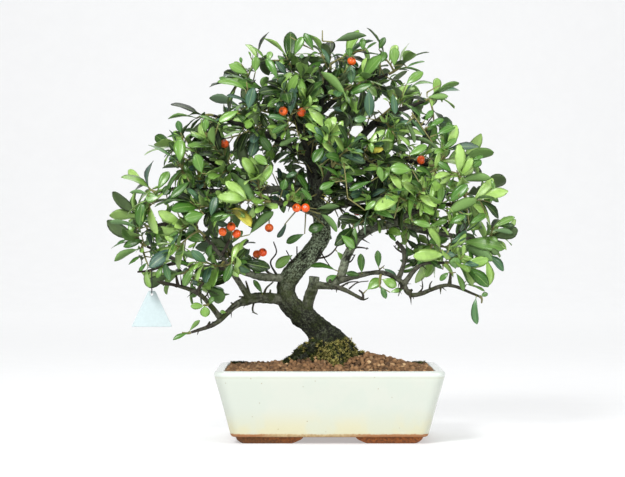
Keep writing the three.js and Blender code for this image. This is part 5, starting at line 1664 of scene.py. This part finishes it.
# leaves: the blades of the solids in fine form, with more on short spurs between them
leafValues = {
    "thickness": 0.5, "seed": 41, "cell": 2.7, "spurShares": (0.2, 0.4, 0.56, 0.72, 0.87, 1.0),
    "woodSpacing": 5.2, "spurLeaves": (3, 8), "berryRoom": 8.5, "shownRoom": 4.5, "stalk": 24.0,
    "farRight": 187, "top": 408, "tagRoom": 25, "tagFront": -70, "tagBack": 30,
    # the crown's own outline from the front, row by row: height, left end and right end
    "outline": np.array([
        (150, -150, 140), (168, -186, 156), (180, -206, 168), (193, -222, 182), (205, -224, 190),
        (224, -230, 196), (238, -212, 190), (252, -202, 180), (276, -180, 166), (301, -186, 148),
        (315, -176, 132), (327, -158, 126), (348, -118, 124), (368, -118, 112), (386, -106, 98),
        (404, -76, 74), (412, -46, 56), (420, -10, 14),
    ], dtype=float),
    # places that the crown's leaves leave open, read off the photograph in its own pixels: how far
    # from its left side, how far from its top, and radius
    "gaps": np.array([
        # left side, from the low left end up
        (120, 232, 7), (124, 208, 10), (137, 200, 6), (149, 182, 6), (158, 159, 5), (160, 140, 5),
        (157, 210, 7), (178, 211, 6), (169, 187, 4), (172, 176, 4), (186, 244, 3), (208, 215, 3),
        (190, 118, 9), (213, 106, 9), (223, 92, 7), (241, 93, 4), (238, 139, 6), (240, 163, 3),
        (234, 190, 4), (245, 205, 5), (270, 176, 6), (266, 190, 3),
        # top, from left to right
        (248, 62, 4), (262, 50, 5), (276, 47, 7), (288, 43, 5), (337, 41, 4), (341, 50, 4),
        (353, 44, 4), (372, 42, 4), (374, 53, 4), (387, 64, 4), (405, 58, 6), (414, 67, 5),
        (426, 88, 4), (442, 110, 8),
        # right side, from the top down
        (380, 106, 6), (331, 104, 3), (355, 130, 4), (371, 132, 6), (404, 139, 4), (416, 136, 6),
        (427, 137, 4), (454, 161, 7), (463, 147, 8), (475, 187, 5), (367, 154, 4), (481, 268, 6),
        (441, 249, 5), (424, 275, 9),
        # open middle and the space under the right branch
        (292, 217, 10), (276, 216, 5), (306, 221, 6), (317, 217, 4), (303, 235, 5), (285, 243, 5),
        (258, 236, 4), (268, 262, 5), (337, 215, 4), (352, 205, 3), (336, 240, 4), (327, 250, 4),
        (354, 255, 4), (372, 252, 5), (383, 247, 8), (368, 262, 4), (389, 262, 5),
        # upper trunk, which shows between the leaves
        (312, 146, 5), (309, 157, 5), (310, 168, 5), (312, 179, 5), (316, 192, 5), (319, 204, 5),
    ], dtype=float),
}


def leafSurfaces(rows):
    # many blades at once. Past a short stalk, u = (s - .06) / .94, the half-width is
    # u^a (1 - u^2)^.72; the rib rises .278 s - .369 s^2 of the length times the leaf's own curl, the
    # halves fold up by t^2, the blade turns about its rib by twist s, and its section is a thin lens
    base, direction, normal = (np.array([r[i] for r in rows])[:, None, None] for i in (0, 1, 2))
    length, width, curl, bluff, twist, fold = (
        np.array([r[i] for r in rows])[:, None, None] for i in (3, 4, 5, 6, 7, 8))
    across = np.cross(direction, normal)
    s = np.array([0.0, 0.07, 0.17, 0.31, 0.48, 0.65, 0.8, 0.92, 1.0])[:, None]
    t = np.array([-1, -0.5, 0, 0.5, 1, 0.5, 0, -0.5])[None, :]
    lower = np.array([0, 0, 0, 0, 0, 1, 1, 1])[None, :]
    u = np.maximum((s - 0.06) / 0.94, 0)
    half = 0.026 + 1.01 * u**bluff * (1 - np.minimum(u, 0.995) ** 2) ** 0.72
    body = 0.35 + 0.65 * np.sin(np.pi * np.clip(s, 0.02, 0.98))
    depth = leafValues["thickness"] * body * (1 - t**2) * lower
    wave = 0.016 * np.sin(9 * s + 5 * curl) * t * (s < 0.99)
    height = (0.278 * s - 0.369 * s**2) * curl * length - depth
    lift = (fold * t**2 * half * 2 + wave) * length
    sideways = half * t * width
    turn = twist * s
    outX = sideways * np.cos(turn) - lift * np.sin(turn)
    outZ = sideways * np.sin(turn) + lift * np.cos(turn) + height
    points = (base + (s * length + 0 * t)[..., None] * direction
              + outX[..., None] * across + outZ[..., None] * normal)
    count = len(rows)
    ring = gridFaces(9, 8)
    first = np.array([(1, 2, 6, 7), (2, 3, 5, 6)])
    quads = np.concatenate([ring[:, ::-1], first[:, ::-1], first + 64])
    ends = np.array([(0, 1, 7), (3, 4, 5)])
    tris = np.concatenate([ends[:, ::-1], ends + 64])
    uv = np.stack([s + 0 * t, 0.5 + 0.5 * t + 0 * s], axis=-1).reshape(-1, 2)
    tint = np.repeat(np.array([(*r[9], 0.0, 1.0) for r in rows]), 72, axis=0)
    faces = (repeated(f, count, 72) for f in (quads, tris))
    return points.reshape(-1, 3), *faces, tint, np.tile(uv, (count, 1))


def takenCells():
    # cells of the space that wood, stems, berries and the tag take up
    taken = set()
    cell = leafValues["cell"]
    line = obstacleEnd - obstacleStart
    for a, v, radius in zip(obstacleStart, line, obstacleRadius):
        if radius < 1.7:
            continue
        steps = max(int(np.linalg.norm(v) / 2), 1)
        for place in a + v * np.linspace(0, 1, steps + 1)[:, None]:
            reach = int(math.ceil(radius / cell))
            low = np.floor((place - radius) / cell).astype(int)
            for i in range(2 * reach + 1):
                for j in range(2 * reach + 1):
                    for k in range(2 * reach + 1):
                        middle = (low + (i, j, k) + 0.5) * cell
                        if np.linalg.norm(middle - place) < radius + 0.8:
                            taken.add(tuple(low + (i, j, k)))
    return taken


extraS = np.array([0.3, 0.3, 0.5, 0.5, 0.5, 0.7, 0.7, 0.92])[:, None]
extraT = np.array([-0.7, 0.7, -0.9, 0, 0.9, -0.7, 0.7, 0])[:, None]


def bladeCells(base, direction, normal, length, width):
    across = np.cross(direction, normal)
    rise = (0.278 * extraS - 0.369 * extraS**2) * length
    points = base + direction * extraS * length + across * extraT * width * 0.5 + normal * rise
    return points, {tuple(c) for c in np.floor(points / leafValues["cell"]).astype(int)}


def leafDraw(place, rng, young=0.0):
    # (green from dark to light, bluish bloom): painted shade makes the leaves inside the crown darker and
    # painted light makes the outer and front ones lighter; darker on top, lighter to the right and low on the
    # left, with a few yellow and a few bluish ones
    outer = np.linalg.norm((place - layout["crown"]) / layout["reach"])
    age = rng.uniform()
    # the outer and front terms are painted shade inside the crown and painted light on the front leaves
    value = -0.15 + 0.62 * outer + 0.3 * np.clip(-place[1] / 80, 0, 1) + rng.normal() * 0.15 + young
    value += -0.42 * (age < 0.4) + 0.26 * (age > 0.74)
    value += 0.18 * np.clip((place[0] - 20) / 90, 0, 1) * (place[2] < 320)
    value += 0.12 * np.clip((-90 - place[0]) / 60, 0, 1) - 0.06 * (place[2] > 340)
    if outer < 0.72 and rng.uniform() < 0.008:
        return 0.98, 0.0
    bloom = rng.uniform(0.5, 1.0) if value < 0.45 and rng.uniform() < 0.25 else 0.0
    return float(np.clip(value, 0.02, 0.86)), float(bloom)


def bladeRow(base, direction, normal, length, width, place, rng, young=0.0, curl=1.0):
    # one blade with its own curl, outline, twist, fold and colour
    return (base, direction, normal, length, width, curl, rng.uniform(0.62, 1.1), rng.normal() * 0.22,
            rng.uniform(0.01, 0.06), leafDraw(place, rng, young))


def seenAt(points):
    # where the camera shows points of the tree, in pixels from the left side and from the top
    v = cameraValues
    scale = v["focalPixels"] / (points[:, 1] - v["place"][1])
    fromLeft = v["widthPixels"] / 2 + (points[:, 0] - v["place"][0]) * scale
    fromTop = v["heightPixels"] / 2 - (points[:, 2] - v["place"][2]) * scale
    return np.stack([fromLeft, fromTop], axis=-1)


def keptClear(points, ragged):
    # added leaves keep inside the outline, more or less, and off the gaps, the tag and the berries
    rows = leafValues["outline"]
    left = np.interp(points[:, 2], rows[:, 0], rows[:, 1]) - ragged
    right = np.interp(points[:, 2], rows[:, 0], rows[:, 2]) + ragged
    above = points[:, 2] > leafValues["top"] + ragged
    if ((points[:, 0] < left) | (points[:, 0] > right) | above).any():
        return True
    beside = np.abs(points[:, 0] - tagValues["x"]) < leafValues["tagRoom"]
    before = (points[:, 1] > leafValues["tagFront"]) & (points[:, 1] < leafValues["tagBack"])
    if (beside & before & (points[:, 2] < tagValues["twigZ"] + 3)).any():
        return True
    gaps = leafValues["gaps"]
    if (np.linalg.norm(seenAt(points)[:, None] - gaps[:, :2], axis=-1) < gaps[:, 2] + 1).any():
        return True
    rooms = ((berryPlaces, leafValues["berryRoom"], 6), (shownPoints, leafValues["shownRoom"], 0))
    for places, room, margin in rooms:
        apart = np.hypot(points[:, None, 0] - places[:, 0], points[:, None, 2] - places[:, 2])
        if ((apart < room) & (points[:, None, 1] < places[:, 1] + margin)).any():
            return True
    return False


def hostLines():
    # points along all the wood, the twigs and the shoots, each with its radius and its owner's name
    lines = [("", rows) for rows in fineWood.values()]
    lines += [("", smoothRows(line, 2.5)[0]) for kind, line in twigs]
    for name, curves in fineStems.items():
        for curve in curves:
            lines.append((name, np.concatenate([curve, np.full((len(curve), 1), 1.2)], axis=1)))
    owners = np.repeat([name for name, line in lines], [len(line) for name, line in lines])
    return np.concatenate([line for name, line in lines]), owners


def shownBlades(v):
    # each shown leaf, turned about its rib so that it looks as wide as it should, on a stalk to the
    # nearest shoot or wood; in the crown it is set as far forward as that stalk allows
    hosts, owners = hostLines()
    blades = []
    for n, (baseLeft, baseTop, tipLeft, tipTop, wide, shade, bloom) in enumerate(shownLeaves):
        x, depth, z = fromPicture(baseLeft, baseTop)
        tipX, depth, tipZ = fromPicture(tipLeft, tipTop, depth)
        # the leaves at the right end are brought in to where the solids' leaves end
        x, tipX = min(x, v["farRight"] - 1), min(tipX, v["farRight"])
        dx, dz = round(tipX - x), round(tipZ - z)
        x, z = round(x), round(z)
        wide = max(round(wide * (depth - cameraValues["place"][1]) / cameraValues["focalPixels"]), 3)
        flat = math.hypot(dx, dz)
        seen = np.argmin(np.hypot(hosts[:, 0] - x, hosts[:, 2] - z) - hosts[:, 3])
        depths = [hosts[seen, 1] - hosts[seen, 3] - 1.0]
        if z > layout["crownFoot"]:
            depths = np.linspace(frontDepth(x, z), 0.3 * frontDepth(x, z), 8)
        for y in depths:
            base = np.array([x, y, z], dtype=float)
            reach = np.linalg.norm(hosts[:, :3] - base, axis=1) - hosts[:, 3]
            near = np.argmin(reach)
            if reach[near] < v["stalk"]:
                break
        drift = (fixed(n, 2) - 0.65) * 0.45 * flat
        step = np.array([dx, drift, dz])
        length, direction = np.linalg.norm(step), unit(step)
        normal = np.array([0.0, -1.0, 0.25])
        normal = unit(normal - direction * normal.dot(direction))
        wide *= 0.93
        width = max(wide, 0.33 * length)
        roll = math.acos(min(wide / width, 1)) * (1 if fixed(n, 3) < 0.7 else -1)
        normal = normal * math.cos(roll) + np.cross(direction, normal) * math.sin(roll)
        if normal[2] < 0 and roll:
            normal = -normal
        row = (base, direction, normal, length, width, 0.3 + 1.2 * fixed(n, 5), 0.62 + 0.4 * fixed(n, 6),
               0.3 * (fixed(n, 7) - 0.5), 0.02 + 0.04 * fixed(n, 8), (round(86 * shade) / 100, bloom))
        blades.append((owners[near], row, (hosts[near, :3], base)))
    return blades


def growLeaves(v):
    rng = np.random.default_rng(v["seed"])
    taken = takenCells()
    rows = {name: [] for name in sprays}
    spurs = {name: [] for name in sprays}
    inner, innerSpurs = [], []
    for kind, line in twigs:
        if kind == "shoot":
            innerSpurs.append((line[0, :3], line[-1, :3]))
    shownCells = set()
    for name, row, stalk in shown:
        shownCells |= bladeCells(*row[:5])[1]
        (rows[name] if name else inner).append(row)
        (spurs[name] if name else innerSpurs).append(stalk)
    taken |= shownCells
    for name, base, direction, normal, length, width in leafRows:
        cells = bladeCells(base, direction, normal, length, width)[1]
        taken |= cells
        lone = len(sprays[name][2]) == 1
        young = 0.25 if rng.uniform() < 0.12 else 0.0
        if (lone and rows[name]) or len(cells & shownCells) > 2:
            continue
        width = width * rng.uniform(0.85, 1.05)
        rows[name].append(bladeRow(base, direction, normal, length, width, base, rng, young))

    def leafySpur(start, tip, count, leafList, size):
        # leaves in turn up the spur, the last ones near its tip and more upright
        axis = unit(tip - start)
        outward = unit(tip - layout["crown"])
        side = unit(np.cross(axis, [0.4, 0.3, 0.86]))
        other = np.cross(axis, side)
        turn = rng.uniform(0, 2 * np.pi)
        ratio = rng.uniform(0.32, 0.46)
        ragged = rng.uniform(-27, 2)
        for k in range(count):
            share = (k + 1) / count
            foot = start + (tip - start) * (0.45 + 0.55 * share)
            for attempt in range(3):
                azimuth = turn + math.radians(137.5 * k + 40 * attempt)
                opening = math.radians((1 - share) * 35 + rng.uniform(18, 50) - 6 * attempt)
                spread = side * math.cos(azimuth) + other * math.sin(azimuth)
                direction = unit(axis * math.cos(opening) + spread * math.sin(opening) + 0.25 * outward)
                normal = up * 0.55 + facing(tip) * 0.8 + 0.62 * rng.normal(size=3)
                normal = unit(normal - direction * normal.dot(direction))
                length = size * rng.uniform(0.6, 1.2) * (1 - 0.1 * attempt)
                width = length * ratio * rng.uniform(0.85, 1.15)
                points, cells = bladeCells(foot, direction, normal, length, width)
                outside = (points < boxLow + 1).any() or (points > boxHigh - 1).any()
                if outside or cells & taken or keptClear(points, ragged):
                    continue
                taken.update(cells)
                young = 0.3 * (size < 19) * (rng.uniform() < 0.6)
                curl = rng.uniform(0.2, 2.3)
                leafList.append(bladeRow(foot, direction, normal, length, width, tip, rng, young, curl))
                break

    for n, name in enumerate(sprays):
        for points in fineStems[name] if len(sprays[name][2]) > 1 else []:
            for share in v["spurShares"]:
                place, direction, radius, step = alongLine(points, share)
                out = rng.normal(size=3)
                out = unit(out - direction * out.dot(direction))
                axis = unit(out + 0.7 * direction + 0.25 * up) if share < 1 else direction
                reach = rng.uniform(4, 15) if share < 1 else rng.uniform(3, 8)
                count = int(rng.integers(*v["spurLeaves"]))
                size = rng.uniform(12, 27)
                before = len(rows[name])
                leafySpur(place, place + axis * reach, count, rows[name], size)
                if len(rows[name]) > before:
                    spurs[name].append((place - axis * 0.5, place + axis * reach))
    for name, line in fineWood.items():
        total = lineLength(line[:, :3])
        for s in np.arange(v["woodSpacing"], total, v["woodSpacing"]):
            place, direction, radius, step = alongLine(line[:, :3], s / total, line[:, 3])
            bare = place[2] < layout["crownFoot"] or name in ("tag_twig", "berry_twig", "right_low_link")
            if bare or radius > (9 if place[2] > 228 else 5):
                continue
            out = rng.normal(size=3)
            out = unit(out - direction * out.dot(direction) + 0.4 * direction + 0.2 * up)
            start = place + out * radius * 0.6
            tip = place + out * (radius + rng.uniform(5, 24))
            before = len(inner)
            leafySpur(start, tip, int(rng.integers(*v["spurLeaves"])), inner, rng.uniform(12, 25))
            if len(inner) > before:
                innerSpurs.append((start, tip))
    return rows, spurs, inner, innerSpurs


def sprayPiece(name, curves, leafList, spurList, nodeName=None):
    heap = newHeap()
    for side, points in enumerate(curves):
        thick = layout["stemRadius"] * (1 if side == 0 else 0.75)
        pile(heap, *tubeSurface(points, np.linspace(thick, 0.8, len(points)), 7), slot=2)
    for start, end in spurList:
        t = np.linspace(0, 1, 4)[:, None]
        line = start + (end - start) * t + up * 0.8 * t * (1 - t)
        pile(heap, *tubeSurface(line, np.array([0.85, 0.7, 0.62, 0.55]), 5), slot=2)
    if leafList:
        points, quads, tris, tint, uv = leafSurfaces(leafList)
        sides = np.concatenate([np.tile([0, 0, 0, 0, 1, 1, 1, 1], 8), np.ones(4)])
        pile(heap, points, quads, tris, np.tile(sides, len(leafList)), tint, uv, triSlot=1)
    finishList = [finishes["leaf"], finishes["leafUnder"], finishes["shoot"]]
    piece = heapPiece(heap, name, finishList, "leafTint", "blade")
    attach(piece, "root")
    if nodeName:
        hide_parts(nodeName)
    return piece


berryPlaces = np.array([m for host, share, middles in bunches.values() for m in middles], dtype=float)
shown = shownBlades(leafValues)
alongBlade = np.array([[0.3], [0.6], [0.9]])
shownPoints = np.concatenate([row[0] + row[1] * row[3] * alongBlade for name, row, stalk in shown])
leafTable, spurTable, innerLeaves, innerSpurs = growLeaves(leafValues)
shootLeaves = sum(len(x) for x in leafTable.values())
print("leaves placed:", shootLeaves, "on shoots,", len(innerLeaves), "on the wood")
for name in sprays:
    sprayPiece(name + "_fine", fineStems[name], leafTable[name], spurTable[name], name)
half = len(innerLeaves) // 2
sprayPiece("innerLeavesLow", [], innerLeaves[:half], innerSpurs)
sprayPiece("innerLeavesHigh", [], innerLeaves[half:], [])
print("leaves made")

# floor, backdrop and soft studio light
stageValues = {
    "world": 0.37,
    "lights": (
        ("key", (-850, -1700, 1450), (0, 0, 200), 0.8, 54),
        ("fill", (1500, -1500, 700), (0, 0, 200), 1.2, 25),
        ("top", (100, 200, 1900), (0, 0, 200), 1.0, 10),
        ("wallWash", (0, 3300, 3600), (0, 4800, 900), 3.0, 62),
    ),
}


def makeStage(v):
    # one sheet: flat floor that curves up into a wall behind
    angle = np.linspace(0, np.pi / 2, 17)
    profile = [(-9000.0, 0.0), (3600.0, 0.0)]
    profile += [(3600 + 1200 * math.sin(a), 1200 * (1 - math.cos(a))) for a in angle[1:]] + [(4800.0, 6000.0)]
    x = np.linspace(-9000, 9000, 9)
    points = np.array([[(a, y, z) for a in x] for y, z in profile]).reshape(-1, 3)
    quads = gridFaces(len(profile), len(x), wrap=False)
    # the sheet's glow is painted light on the floor's shade
    addPiece("backdrop", points, quads, None, [finishes["glowingPaper"]])
    world = bpy.data.worlds.new("studio")
    world.use_nodes = True
    world.node_tree.nodes["Background"].inputs["Color"].default_value = (1, 1, 1, 1)
    world.node_tree.nodes["Background"].inputs["Strength"].default_value = v["world"]
    bpy.context.scene.world = world
    for name, place, aim, size, power in v["lights"]:
        light = bpy.data.lights.new(name, "AREA")
        light.shape = "DISK"
        light.size = size
        light.energy = power
        lamp = bpy.data.objects.new(name, light)
        lamp.location = (np.array(place) + potMiddle) / 1000
        toAim = mathutils.Vector((np.array(aim) - np.array(place)) / 1000)
        lamp.rotation_euler = toAim.to_track_quat("-Z", "Y").to_euler()
        bpy.context.scene.collection.objects.link(lamp)
    print("stage made")


makeStage(stageValues)
bpy.context.scene.view_settings.view_transform = "Standard"
